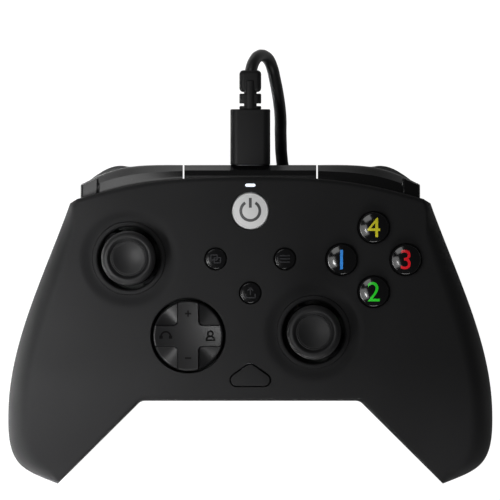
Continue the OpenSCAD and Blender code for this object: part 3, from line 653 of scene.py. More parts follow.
@dataclass(frozen=True)
class Glow(Finish):
    """A lit diffuser with a faint unevenness in its light."""

    strength: float = 0.8

    def plain(self) -> dict[str, object]:
        """Add the strength of the light."""
        return {**super().plain(), "Emission Strength": self.strength}

    def detail(self, sheet: NodeSheet) -> dict[str, object]:
        """A faint unevenness in the lit colour."""
        cloud = sheet.noise(0.0009, 2.0)
        lit = sheet.blend(cloud, shaded(self.colour, 0.94), self.colour)
        return {"Base Color": lit, "Emission Color": lit, "Roughness": self.roughness + (cloud - 0.5) * 0.1}


SHELL = Finish("matte_shell", shown(18, 18, 19), 0.68, 0.00045, 0.000012, gloss_level=0.2)
GLOSS = Polished("gloss_black", shown(12, 12, 13), 0.22, depth=0.00002, patch=0.08)
TRIGGER = Finish("satin_trigger", shown(30, 30, 31), 0.4, 0.0005, 0.000008)
BUTTON = Polished("gloss_button", shown(13, 13, 14), 0.12, depth=0.00001, patch=0.05)
DPAD = Finish("satin_dpad", shown(18, 18, 19), 0.4, 0.0003, 0.000004, gloss_level=0.22)
STICK = Finish("soft_stick", shown(19, 19, 20), 0.5, 0.0003, 0.000008, drift=0.08, gloss_level=0.24)
# Painted shade: the skirt's dark plastic is made near-black and almost without sheen, so that the gap round
# each stick reads dark.
SKIRT_PAINTED_SHADE = Finish("skirt_painted_shade", shown(3, 3, 3), 0.9, 0.0004, 0.000006, gloss_level=0.02)
DISC = Finish("pale_disc", shown(240, 240, 241), 0.4, 0.0004, 0.000003, drift=0.02, patch=0.04)
MARK = Finish("dark_mark", shown(66, 66, 68), 0.5, 0.0002, 0.000002, drift=0.05)
ICON = Finish("engraved_mark", shown(5, 5, 5), 0.6, 0.0002, 0.000002, drift=0.05, gloss_level=0.05)
ETCHED = Finish("etched_icon", shown(44, 44, 46), 0.6, 0.0002, 0.000002, drift=0.05, gloss_level=0.05)
LIGHT = Glow("status_glow", shown(236, 244, 255), 0.4)
STEEL = Metal("plated_steel", shown(178, 180, 184), 0.3, 0.0006, 0.000004, metallic=1.0)
# Painted shade: steel made nearly black, so that the stick housings, shafts and pins seen through the gaps
# read dark.
STEEL_PAINTED_SHADE = Metal("steel_painted_shade", shown(24, 24, 25), 0.5, 0.0006, 0.000004, metallic=1.0)
INNER = Finish("inner_moulding", shown(34, 34, 36), 0.5, 0.0006, 0.00001)
MEMBRANE = Finish("silicone", shown(112, 113, 117), 0.55, 0.0005, 0.000008)
# Partly painted shade: a real solder mask, made near-black so that the board seen through the gaps reads
# dark.
BOARD_PAINTED_SHADE = SolderMask("solder_mask_painted_shade", shown(7, 11, 9), 0.5, depth=0.00002, gloss_level=0.2)
PLUG = Finish("soft_overmould", shown(15, 15, 16), 0.5, 0.0004, 0.000008, gloss_level=0.22)
CORD = Jacket("cord_jacket", shown(20, 20, 21), 0.42, 0.0007, 0.00001)
TIE = Finish("woven_tie", shown(34, 34, 35), 0.75, 0.0005, 0.00004, drift=0.25)
BLUE = Polished("blue_inlay", shown(58, 150, 242), 0.25, depth=0.000004, patch=0.05)
GREEN = Polished("green_inlay", shown(44, 214, 44), 0.25, depth=0.000004, patch=0.05)
RED = Polished("red_inlay", shown(228, 24, 38), 0.25, depth=0.000004, patch=0.05)
YELLOW = Polished("yellow_inlay", shown(214, 206, 44), 0.25, depth=0.000004, patch=0.05)


@dataclass
class Lamp:
    """A square soft lamp, with a grid that keeps its light to a cone."""

    name: str
    place: Sequence[float]
    aim: Sequence[float]
    size: float
    power: float
    spread: float = 180.0

    def build(self) -> None:
        """Make the lamp and turn it to its aim."""
        data = bpy.data.lights.new(self.name, "AREA")
        data.shape = "SQUARE"
        data.size = self.size
        data.energy = self.power
        data.spread = math.radians(self.spread)
        lamp = bpy.data.objects.new(self.name, data)
        lamp.location = self.place
        lamp.rotation_euler = (Vector(self.aim) - Vector(self.place)).to_track_quat("-Z", "Y").to_euler()
        bpy.context.scene.collection.objects.link(lamp)


@dataclass
class Studio:
    """Camera straight above the face, soft lamps, white floor and a sky that is pale at the horizon."""

    view_width: float = 0.1574
    view_centre: Plan = (-0.0001, 0.0235)
    face_height: float = 0.044
    lens: float = 900.0
    sensor: float = 36.0
    view_limit: float = 20.0
    floor_size: float = 6.0
    floor_drop: float = 0.05
    floor_shade: float = 0.86
    floor_glow: float = 0.9
    floor_mirrored: float = 1.0
    glow_strength: float = 1.12
    mirror_fades: tuple[tuple[str, float, float], ...] = (("X", 0.035, -0.05), ("Y", 0.05, 0.09))
    horizon_shade: float = 0.11
    high_shade: float = 0.045
    high_share: float = 0.5
    lamps: tuple[Lamp, ...] = (
        Lamp("key_lamp", (-0.54, -0.2, 0.88), (-0.405, -0.14, 0.04), 0.45, 8.3, 34.0),
        Lamp("left_panel", (-0.45, -0.12, 0.78), (0, 0, 0.04), 0.5, 2.2),
        Lamp("front_lamp", (0.05, -0.9, 0.6), (0, -0.04, 0.03), 0.5, 4.5),
        Lamp("rim_lamp", (-0.27, 0.49, 0.8), (-0.04, 0.045, 0.04), 0.36, 1.3),
    )

    def build(self) -> None:
        """Make the camera, lamps, floor and sky."""
        bpy.context.scene.view_settings.view_transform = "Standard"
        self._camera()
        for lamp in self.lamps:
            lamp.build()
        self._floor()
        self._sky()

    def _camera(self) -> None:
        """Put a long lens above the face, with the bumpers at the top of the picture."""
        data = bpy.data.cameras.new("camera")
        data.lens = self.lens
        data.sensor_width = self.sensor
        data.clip_end = self.view_limit
        camera = bpy.data.objects.new("camera", data)
        distance = self.view_width * self.lens / self.sensor
        camera.location = (*self.view_centre, self.face_height + distance)
        bpy.context.scene.collection.objects.link(camera)
        bpy.context.scene.camera = camera

    def _floor(self) -> None:
        """Lay a floor that looks white, with a mirrored glow behind the left bumper only."""
        blank = Blank()
        bmesh.ops.create_grid(blank.mesh, x_segments=1, y_segments=1, size=self.floor_size / MM / 2)
        floor = blank.shift(0, 0, -self.floor_drop).make("floor")
        sheet = NodeSheet("white_floor")
        viewed = sheet.node("ShaderNodeLightPath", output="Is Camera Ray")
        mirrored = sheet.node("ShaderNodeLightPath", output="Is Glossy Ray")
        for axis, start, stop in self.mirror_fades:
            place = sheet.node("ShaderNodeSeparateXYZ", inputs={0: sheet.place}, output=axis)
            limits = {"Value": place, "From Min": start, "From Max": stop}
            mirrored = mirrored * sheet.node("ShaderNodeMapRange", inputs=limits)
        share = viewed * self.floor_glow + mirrored * self.floor_mirrored
        pale = (*shaded(WHITE, self.floor_shade), 1)
        matt = sheet.node("ShaderNodeBsdfDiffuse", inputs={"Color": pale})
        lit = {"Color": (*WHITE, 1), "Strength": self.glow_strength}
        glow = sheet.node("ShaderNodeEmission", inputs=lit)
        both = sheet.node("ShaderNodeMixShader", inputs={0: share, 1: matt, 2: glow})
        sheet.node("ShaderNodeOutputMaterial", inputs={"Surface": both})
        floor.data.materials.append(sheet.material)

    def _sky(self) -> None:
        """Light the scene from a dim sky that is paler at the horizon."""
        world = bpy.data.worlds.new("sky")
        bpy.context.scene.world = world
        world.use_nodes = True
        tree = world.node_tree
        place = tree.nodes.new("ShaderNodeTexCoord")
        split = tree.nodes.new("ShaderNodeSeparateXYZ")
        ramp = tree.nodes.new("ShaderNodeValToRGB")
        horizon, high = shaded(WHITE, self.horizon_shade), shaded(WHITE, self.high_shade)
        NodeSheet.set_stops(ramp.color_ramp, [(0.0, horizon), (self.high_share, high)])
        tree.links.new(place.outputs["Generated"], split.inputs[0])
        tree.links.new(split.outputs["Z"], ramp.inputs[0])
        tree.links.new(ramp.outputs[0], tree.nodes["Background"].inputs["Color"])


@dataclass
class Lead:
    """The lead: plug in the port, strain relief, cord with its coil under the belly, tie and far plug."""

    port_z: float = PORT_Z
    plug_y: float = 50.5
    seat: float = 0.18
    plug_size: tuple[float, float, float] = (12.6, 17.4, 6.4)
    plug_corner: float = 2.4
    tongue: tuple[float, float] = (8.3, 2.5)
    tongue_y: float = 40.6
    relief_l: float = 9.1
    relief_half: float = 3.45
    hood: float = 3.2
    cord_d: float = 3.8
    coil_centre: Plan = (0.0, 11.0)
    coil_r: float = 31.0
    coil_low: float = 2.8
    coil_turns: int = 4
    coil_layers: int = 4
    coil_step: float = 4.3
    steps_a_turn: int = 24
    cord_length: float = 2.41
    far_size: tuple[float, float, float] = (16.0, 22.0, 8.0)
    far_shell: tuple[float, float, float] = (12.0, 12.0, 4.5)
    far_at: tuple[float, float, float] = (46.4, -1.0, 4.0)
    loop: tuple[tuple[float, float, float], ...] = (
        (0, 0, 0), (0, 0.6, 0), (0.4, 3.9, -0.7), (1.4, 6.4, -2.5), (2.8, 7.8, -5.2), (4.4, 7.8, -8.1),
        (5.9, 6.5, -10.7), (7, 3.9, -12.6), (7.7, 0.9, -13.5), (8.6, -3.6, -14.3), (9.3, -8.4, -16.4),
        (9.6, -12.4, -20.2),
    )
    run: tuple[tuple[float, float, float], ...] = (
        (9.6, 61.4, 12.1), (9.7, 58, 7.7), (9.9, 53.8, 4.3), (10.6, 49.2, 2.5), (12.4, 44.6, 2.1),
        (15.4, 40.4, 2.1), (19.2, 36.6, 2.1), (23.2, 32.8, 2.1), (26.8, 28.2, 2.2), (29.6, 23.2, 2.5),
        (30.8, 18.8, 2.7), (31, 16, 2.8), (31, 14.8, 2.8),
    )
    tail: tuple[tuple[float, float, float], ...] = (
        (31, 7.2, 15.7), (31, 4, 15.7), (31, 0, 15.1), (31, -4.2, 13.2), (31.2, -8.4, 10.2),
        (31.8, -11.3, 8.2), (33.4, -13.8, 6.4), (35.9, -15.4, 5), (38.8, -16, 3.9), (41.7, -15.4, 3.2),
        (44.2, -13.8, 3), (45.8, -11.3, 3.2), (46.4, -8.4, 3.6), (46.4, -5, 4), (46.4, -1, 4),
    )

    @property
    def relief_y(self) -> float:
        """Where the strain relief starts."""
        return self.plug_y + self.plug_size[1]

    @property
    def exit(self) -> tuple[float, float, float]:
        """Where the cord leaves the strain relief."""
        return 0.0, self.relief_y + self.relief_l, self.port_z

    def build(self) -> None:
        """Make the cord and all that is on it."""
        pieces = [*self._plug(), self._relief(), self._tie(), *self._far_plug()]
        cord = self._cord()

    def route(self) -> list[tuple[float, float, float]]:
        """The cord's middle line, from the strain relief to the far plug, in millimetres."""
        start = [tuple(a + b for a, b in zip(p, self.exit)) for p in self.loop]
        turns = self.coil_turns * self.coil_layers
        coil = [self._coil_point(i / self.steps_a_turn) for i in range(turns * self.steps_a_turn + 1)]
        return [*start, *self.run, *coil, *self.tail]

    def _coil_point(self, u: float) -> tuple[float, float, float]:
        """Point of the coil after u turns: it spirals in and out by layers and climbs where it reverses."""
        layer = min(self.coil_layers - 1, int(u // self.coil_turns))
        v = u - layer * self.coil_turns
        radius = self.coil_r - self.coil_step * (v if layer % 2 == 0 else self.coil_turns - v)
        climbs = sum(ease((u - i * self.coil_turns) * 2 + 0.5) for i in range(1, self.coil_layers))
        angle = math.tau * u
        return (
            self.coil_centre[0] + radius * math.cos(angle),
            self.coil_centre[1] - radius * math.sin(angle),
            self.coil_low + self.coil_step * climbs,
        )

    def _cord(self) -> bpy.types.Object:
        """Lay one smooth curve along the route."""
        points = self.route()
        data = bpy.data.curves.new("cord", "CURVE")
        data.dimensions = "3D"
        data.bevel_depth = self.cord_d / 2 * MM
        data.bevel_resolution = 5
        data.resolution_u = 5
        data.use_fill_caps = True
        spline = data.splines.new("BEZIER")
        spline.bezier_points.add(len(points) - 1)
        for knot, point in zip(spline.bezier_points, points):
            knot.co = Vector(point) * MM
            knot.handle_left_type = knot.handle_right_type = "AUTO"
        cord = bpy.data.objects.new("cord", data)
        bpy.context.scene.collection.objects.link(cord)
        return place_piece(cord, Body.CASE, CORD, ["cord_lead", "cord_coil", "cord_tail"])

    def _along(self, outline: Profile, start: float, stop: float, round_end: float) -> Blank:
        """Extrude a cross-section towards the bumpers' side and round its two ends."""
        blank = Blank().prism(outline, start, stop).round_edges(round_end, 4, 60)
        return blank.move(Matrix.Rotation(-math.pi / 2, 4, "X"))

    @staticmethod
    def _pill(width: float, height: float, corner: float) -> list[Plan]:
        """Rounded rectangle about the origin."""
        x, y = width / 2 - corner, height / 2 - corner
        return rounded_outline([(x, -y, corner), (x, y, corner), (-x, y, corner), (-x, -y, corner)], 10)

    def _plug(self) -> list[bpy.types.Object]:
        """The plug's overmould and the metal tongue in the port."""
        width, length, height = self.plug_size
        outline = self._pill(width, height, self.plug_corner)
        grip = self._along(outline, self.plug_y - self.seat, self.plug_y + length, 0.35)
        tongue = self._along(self._pill(*self.tongue, 1.1), self.tongue_y, self.plug_y + 0.5, 0.2)
        return [
            place_piece(grip.shift(0, 0, self.port_z).make("usb_c_grip"), Body.CASE, PLUG,
                        ["usb_c_plug"]),
            place_piece(tongue.shift(0, 0, self.port_z).make("usb_c_tongue"), Body.CASE, STEEL),
        ]

    def _relief(self) -> bpy.types.Object:
        """The strain relief: a core and three side blocks, the last one a hood round the cord."""
        blank = Blank()
        core = self._pill(self.cord_d + 0.2, 5.8, 1.7)
        block = self._pill(2 * self.relief_half, 5.2, 1.5)
        edge, crown = 0.3, 1.3
        blocks = [(0.0, 1.0, edge), (1.8, 4.9, edge), (5.4, self.relief_l + self.hood, crown)]
        spans = [(core, 0.0, self.relief_l, edge), *[(block, *span) for span in blocks]]
        for outline, low, high, rounding in spans:
            part = Blank().prism(outline, self.relief_y + low, self.relief_y + high)
            blank.absorb(part.round_edges(rounding, 5, 60))
        blank.move(Matrix.Rotation(-math.pi / 2, 4, "X")).shift(0, 0, self.port_z)
        return place_piece(blank.make("cord_relief"), Body.CASE, PLUG, ["strain_relief"])

    def _tie(self) -> bpy.types.Object:
        """A strap round the coil's left side."""
        slack, width, thick = 0.3, 5.0, 0.6
        radius = self.cord_d / 2
        inner = self.coil_centre[0] - (self.coil_r - self.coil_step * self.coil_turns - radius - slack)
        outer = self.coil_centre[0] - (self.coil_r + radius + slack)
        low = self.coil_low - radius - slack
        high = self.coil_low + self.coil_step * (self.coil_layers - 1) + radius + slack
        loops = []
        path = self._strap_path(outer, inner, low, high, 1.6)
        middle = Vector(((outer + inner) / 2, 0, (low + high) / 2))
        near, far = self.coil_centre[1] - width / 2, self.coil_centre[1] + width / 2
        for x, z in [*path, path[0]]:
            here = Vector((x, 0, z))
            out = (here - middle).normalized() * thick
            corners = ((here, near), (here, far), (here + out, far), (here + out, near))
            loops.append([Vector((p.x, y, p.z)) for p, y in corners])
        blank = Blank()
        blank.sheet([[*loop, loop[0]] for loop in loops])
        return place_piece(blank.settle().make("cord_strap"), Body.CASE, TIE, ["cable_tie"])

    @staticmethod
    def _strap_path(left: float, right: float, low: float, high: float, corner: float) -> list[Plan]:
        """Rounded rectangle between four sides."""
        return rounded_outline([
            (right - corner, low + corner, corner), (right - corner, high - corner, corner),
            (left + corner, high - corner, corner), (left + corner, low + corner, corner)], 6)

    def _far_plug(self) -> list[bpy.types.Object]:
        """The plug at the cord's far end: grip, metal shell and the insert in it."""
        x, y, z = self.far_at
        width, length, height = self.far_size
        shell_w, shell_l, shell_h = self.far_shell
        end, play, wall = y + length, 0.5, 0.35
        grip = self._along(self._pill(width, height, 2.2), y, end, 0.9)
        shell = Blank().box(
            (-shell_w / 2, end - play, -shell_h / 2),
            (shell_w / 2, end + shell_l, shell_h / 2),
        )
        mouth = [f for f in shell.mesh.faces if f.normal.y > 0.9]
        bmesh.ops.inset_individual(shell.mesh, faces=mouth, thickness=wall)
        floor = list({v for f in mouth for v in f.verts})
        bmesh.ops.translate(shell.mesh, vec=(0, -shell_l + 1, 0), verts=floor)
        insert = Blank().box(
            (-shell_w / 2 + play, end, -shell_h / 2 + play),
            (shell_w / 2 - play, end + shell_l - 0.6, 0.1),
        )
        return [
            place_piece(grip.shift(x, 0, z).make("usb_a_grip"), Body.CASE, PLUG,
                        ["usb_a_plug"]),
            place_piece(shell.shift(x, 0, z).make("usb_a_shell"), Body.CASE, STEEL),
            place_piece(insert.shift(x, 0, z).round_edges(0.15, 2).make("usb_a_insert"), Body.CASE, INNER),
        ]


@dataclass(frozen=True)
class SkinSteps:
    """How many steps a section of a shell's skin takes over each of its stretches."""

    wall: int
    inner_roll: int
    middle: int
    outer_roll: int
    lip: int


@dataclass(frozen=True)
class CaseForm:
    """Plan and heights of the case, by the same formulas as the part's solids, in millimetres."""

    half_w: float = 76.5
    top_y: float = 50.4
    edge_y: float = 46.4
    notch_y: float = -24.0
    notch_half: float = 34.4
    tip_inset: float = 15.6
    corner_r: float = 3.0
    corner_turn: float = 45.0
    face_h: float = 46.0
    belly_h: float = 19.5
    wall: float = 2.2
    side_roll: float = 7.5
    side_droop: float = 3.0
    grip_droop: float = 13.0
    pad_reach: float = 45.0
    joint_share: float = 0.55
    seam: float = 0.2
    top_stations: int = 8
    fan_stations: int = 7
    grip_stations: int = 11
    fan_share: float = 0.38
    grip_turn: float = 0.45
    inner_end_share: float = 0.97
    cavity_end_share: float = 0.93
    top_lip: float = 3.0
    back_lip_z: float = 25.6
    inner_roll: float = 1.2
    top_roll: float = 1.5
    belly_roll: float = 12.0
    dish_floor_r: float = 11.5
    dish_r: float = 16.0
    dish_depth: float = 1.0
    front_inner_base: float = 0.88
    front_outer_base: Plan = (0.5, 0.3)
    back_inner_base: Plan = (0.6, 0.35)
    back_outer_base: Plan = (0.6, 0.3)
    belly_share: Plan = (0.35, 0.6)

    @property
    def tip(self) -> Plan:
        """The tip of the right grip."""
        return self.half_w - self.tip_inset, -self.top_y

    @property
    def shoulder(self) -> Plan:
        """Where the top edge meets the right side."""
        return self.half_w - 22, self.edge_y - 6.8

    @property
    def widest(self) -> Plan:
        """The outermost point of the right grip."""
        return self.half_w, 21.1 - self.top_y

    @property
    def top_arch(self) -> list[Plan]:
        """Curve of the right half of the top edge."""
        return [(0, self.edge_y), (28, self.edge_y + 0.6), (40, self.edge_y - 2.8), self.shoulder]

    @property
    def side_line(self) -> list[Plan]:
        """Curve of the right side down to its widest point."""
        x, y = self.shoulder[0] + 2.3, self.shoulder[1] - 1.4
        return [(x, y), (x + 9.2, y - 25), (self.half_w, self.widest[1] + 22.3), self.widest]

    @property
    def grip_end(self) -> list[Plan]:
        """Curve round the end of the right grip."""
        x, y = self.widest
        return [self.widest, (x + 0.3, y - 15.7), (self.tip[0] + 11.1, self.tip[1] + 4.4), self.tip]

    @property
    def last_station(self) -> int:
        """Number of the station at the tip."""
        return self.top_stations + self.fan_stations + self.grip_stations

    def on_face(self, x_share: float, y_share: float) -> Plan:
        """Place on the face by shares of the half width and of the way from the bottom edge to the top."""
        return self.half_w * x_share, mix(self.notch_y, self.edge_y, y_share)

    def face_level(self, x: float, y: float) -> float:
        """Height of the face over a plan point."""
        droop_y = self.notch_y + 14
        droop = max(0.0, (droop_y - y) / (self.top_y + droop_y))
        return self.face_h - self.side_droop * (x / self.half_w) ** 2 - self.grip_droop * droop**2

    def back_level(self, x: float, y: float) -> float:
        """Height of the underside over a plan point."""
        away = math.hypot(abs(x) - self.half_w + 13.5, y - self.widest[1] - 2.3)
        return self.belly_h * (1 - ease(1 - away / self.pad_reach))

    def joint_level(self, x: float, y: float) -> float:
        """Height of the joint between the shells over a plan point."""
        return mix(self.back_level(x, y), self.face_level(x, y), self.joint_share)

    def face_tilt(self, x: float, y: float) -> Matrix:
        """Placement that puts a shape on the face, square to it."""
        step = 0.5
        slope_x = (self.face_level(x + step, y) - self.face_level(x - step, y)) / (2 * step)
        slope_y = (self.face_level(x, y + step) - self.face_level(x, y - step)) / (2 * step)
        turn = Vector((-slope_x, -slope_y, 1)).to_track_quat("Z", "Y").to_matrix().to_4x4()
        return Matrix.Translation((x, y, self.face_level(x, y))) @ turn

    def _grip_part(self, k: float) -> float:
        """Share of the way down the grip at a station."""
        return (k - self.top_stations - self.fan_stations) / self.grip_stations

    def inner_end(self, k: float, share: float) -> Plan:
        """Where a station's section starts, on the bottom edge, the corner or the grip's inner edge."""
        turn_x = self.corner_r * math.tan(math.radians(self.corner_turn / 2))
        middle = (self.notch_half - turn_x, self.notch_y - self.corner_r)
        if k <= self.top_stations:
            return middle[0] * k / self.top_stations, self.notch_y
        turned = min(1.0, (k - self.top_stations) / self.fan_stations)
        angle = math.radians(self.corner_turn * turned)
        corner = (middle[0] + self.corner_r * math.sin(angle), middle[1] + self.corner_r * math.cos(angle))
        return mix_plan(corner, self.tip, max(0.0, self._grip_part(k)) * share * self.inner_end_share)

    def outer_end(self, k: float, share: float) -> Plan:
        """Where a station's section ends, on the top edge, the side or the grip's end."""
        fan = k - self.top_stations
        if fan <= 0:
            return bezier(self.top_arch, k / self.top_stations)
        if fan <= 1:
            return mix_plan(self.shoulder, self.side_line[0], fan)
        if fan <= self.fan_stations:
            return bezier(self.side_line, self.fan_share * (fan - 1) / (self.fan_stations - 1))
        down = self._grip_part(k) * share
        if down < self.grip_turn:
            return bezier(self.side_line, mix(self.fan_share, 1, down / self.grip_turn))
        return bezier(self.grip_end, (down - self.grip_turn) / (1 - self.grip_turn))

    def skin_row(self, k: float, is_front: bool, is_cavity: bool, steps: SkinSteps) -> list[Vector]:
        """One section of a shell's outer or inner skin.

        Args:
            k: Station, negative on the left half.
            is_front: Whether it is the front shell.
            is_cavity: Whether it is the inner skin.
            steps: Steps over the stretches of the section.

        Returns:
            Points from the inner rim to the outer rim.
        """
        station, sign = abs(k), -1 if k < 0 else 1
        share = self.cavity_end_share if is_cavity else 1.0
        a, b = Vector(self.inner_end(station, share)), Vector(self.outer_end(station, share))
        if not is_front:
            b.y = min(b.y, self.top_y - 13)
        along = (b - a).normalized()
        skin = self.wall if is_cavity else 0.0
        inset = min(skin, 0.3 * (b - a).length)
        p, q = a + along * inset, b - along * inset
        length = (q - p).length
        side = ease((station - self.top_stations) / 2)
        gap = self.seam / 2 if is_front else -self.seam / 2
        rim_p = self.joint_level(*a) + gap
        edge_z = self.face_level(*b) - self.top_lip if is_front else self.back_lip_z
        rim_q = mix(edge_z, self.joint_level(*b) + gap, side)
        if is_front:
            w_in, base_in = self.inner_roll, self.front_inner_base
            w_out, base_out = mix(self.top_roll, self.side_roll, side), mix(*self.front_outer_base, side)
        else:
            w_in = mix(self.inner_roll, self.belly_roll, mix(*self.belly_share, side))
            w_out = mix(self.inner_roll, self.belly_roll, side)
            base_in, base_out = mix(*self.back_inner_base, side), mix(*self.back_outer_base, side)
        w_in, w_out = min(w_in, 0.3 * length), min(w_out, 0.6 * length)

        def rise(d: float, width: float, base: float) -> float:
            """Rise of a rounded edge at a distance from it."""
            return 1.0 if d >= width else base + (1 - base) * math.sqrt(1 - (1 - d / width) ** 2)

        def at(d: float) -> Vector:
            """Point of the skin at a distance along the section."""
            plan = p + along * d
            rim = mix(rim_p, rim_q, d / length)
            level = self.face_level(*plan) - skin if is_front else self.back_level(*plan) + skin
            lift = rise(d, w_in, base_in) * rise(length - d, w_out, base_out)
            return Vector((sign * plan.x, plan.y, rim + (level - rim) * lift))

        quarter = math.pi / 2
        rolls_in = [
            w_in * (1 - math.cos(quarter * i / steps.inner_roll))
            for i in range(steps.inner_roll + 1)
        ]
        flats = [mix(w_in, length - w_out, i / steps.middle) for i in range(1, steps.middle)]
        rolls_out = [
            length - w_out * (1 - math.cos(quarter * i / steps.outer_roll))
            for i in range(steps.outer_roll, -1, -1)
        ]
        top = [at(d) for d in [*rolls_in, *flats, *rolls_out]]
        near, far = top[0], top[-1]
        wall = [Vector((near.x, near.y, mix(rim_p, near.z, i / steps.wall))) for i in range(steps.wall)]
        lip = [Vector((far.x, far.y, mix(far.z, rim_q, i / steps.lip))) for i in range(1, steps.lip + 1)]
        return [*wall, *top, *lip]

    def dish_drop(self, x: float, y: float, stick: Plan) -> float:
        """Depth of the soft dish round a stick."""
        away = math.hypot(x - stick[0], y - stick[1])
        return self.dish_depth * (1 - ease((away - self.dish_floor_r) / (self.dish_r - self.dish_floor_r)))


FORM = CaseForm()
LEFT_STICK_AT = FORM.on_face(-0.5, 0.638)
RIGHT_STICK_AT = FORM.on_face(0.261, 0.308)
DPAD_AT = FORM.on_face(-0.256, 0.291)
FACE_GROUP_AT = FORM.on_face(0.507, 0.632)
VIEW_AT = FORM.on_face(-0.1425, 0.635)
MENU_AT = FORM.on_face(0.1425, 0.635)
SHARE_AT = FORM.on_face(0.0, 0.483)
GUIDE_AT = (0.0, FORM.edge_y - 10.6)
LIGHT_AT = (0.0, FORM.edge_y - 2.5)
FUNCTION_AT = (0.0, FORM.notch_y + 4.7)
BUTTON_GAP = 0.3
FACE_PITCH = 10.1
FACE_BUTTON_R = 4.8
SMALL_BUTTON_R = 3.25
GUIDE_R = 5.7


def face_places() -> dict[Body, Plan]:
    """Places of the four face buttons, a diamond about the middle of their group."""
    x, y = FACE_GROUP_AT
    return {
        Body.WEST: (x - FACE_PITCH, y),
        Body.SOUTH: (x, y - FACE_PITCH),
        Body.EAST: (x + FACE_PITCH, y),
        Body.NORTH: (x, y + FACE_PITCH),
    }


def function_outline(grow: float) -> list[Plan]:
    """Rounded triangle of the function button, grown by a margin."""
    half, height, base_r, apex_r = 6.2, 6.9, 1.9, 1.5
    return rounded_outline([
        (half - base_r, base_r, base_r + grow), (0, height - apex_r, apex_r + grow),
        (base_r - half, base_r, base_r + grow)], 10)


def light_outline(grow: float) -> list[Plan]:
    """Slot of the status light, grown by a margin."""
    half, radius = 1.7, 0.575
    return rounded_outline([(half - radius, 0, radius + grow), (radius - half, 0, radius + grow)], 10)


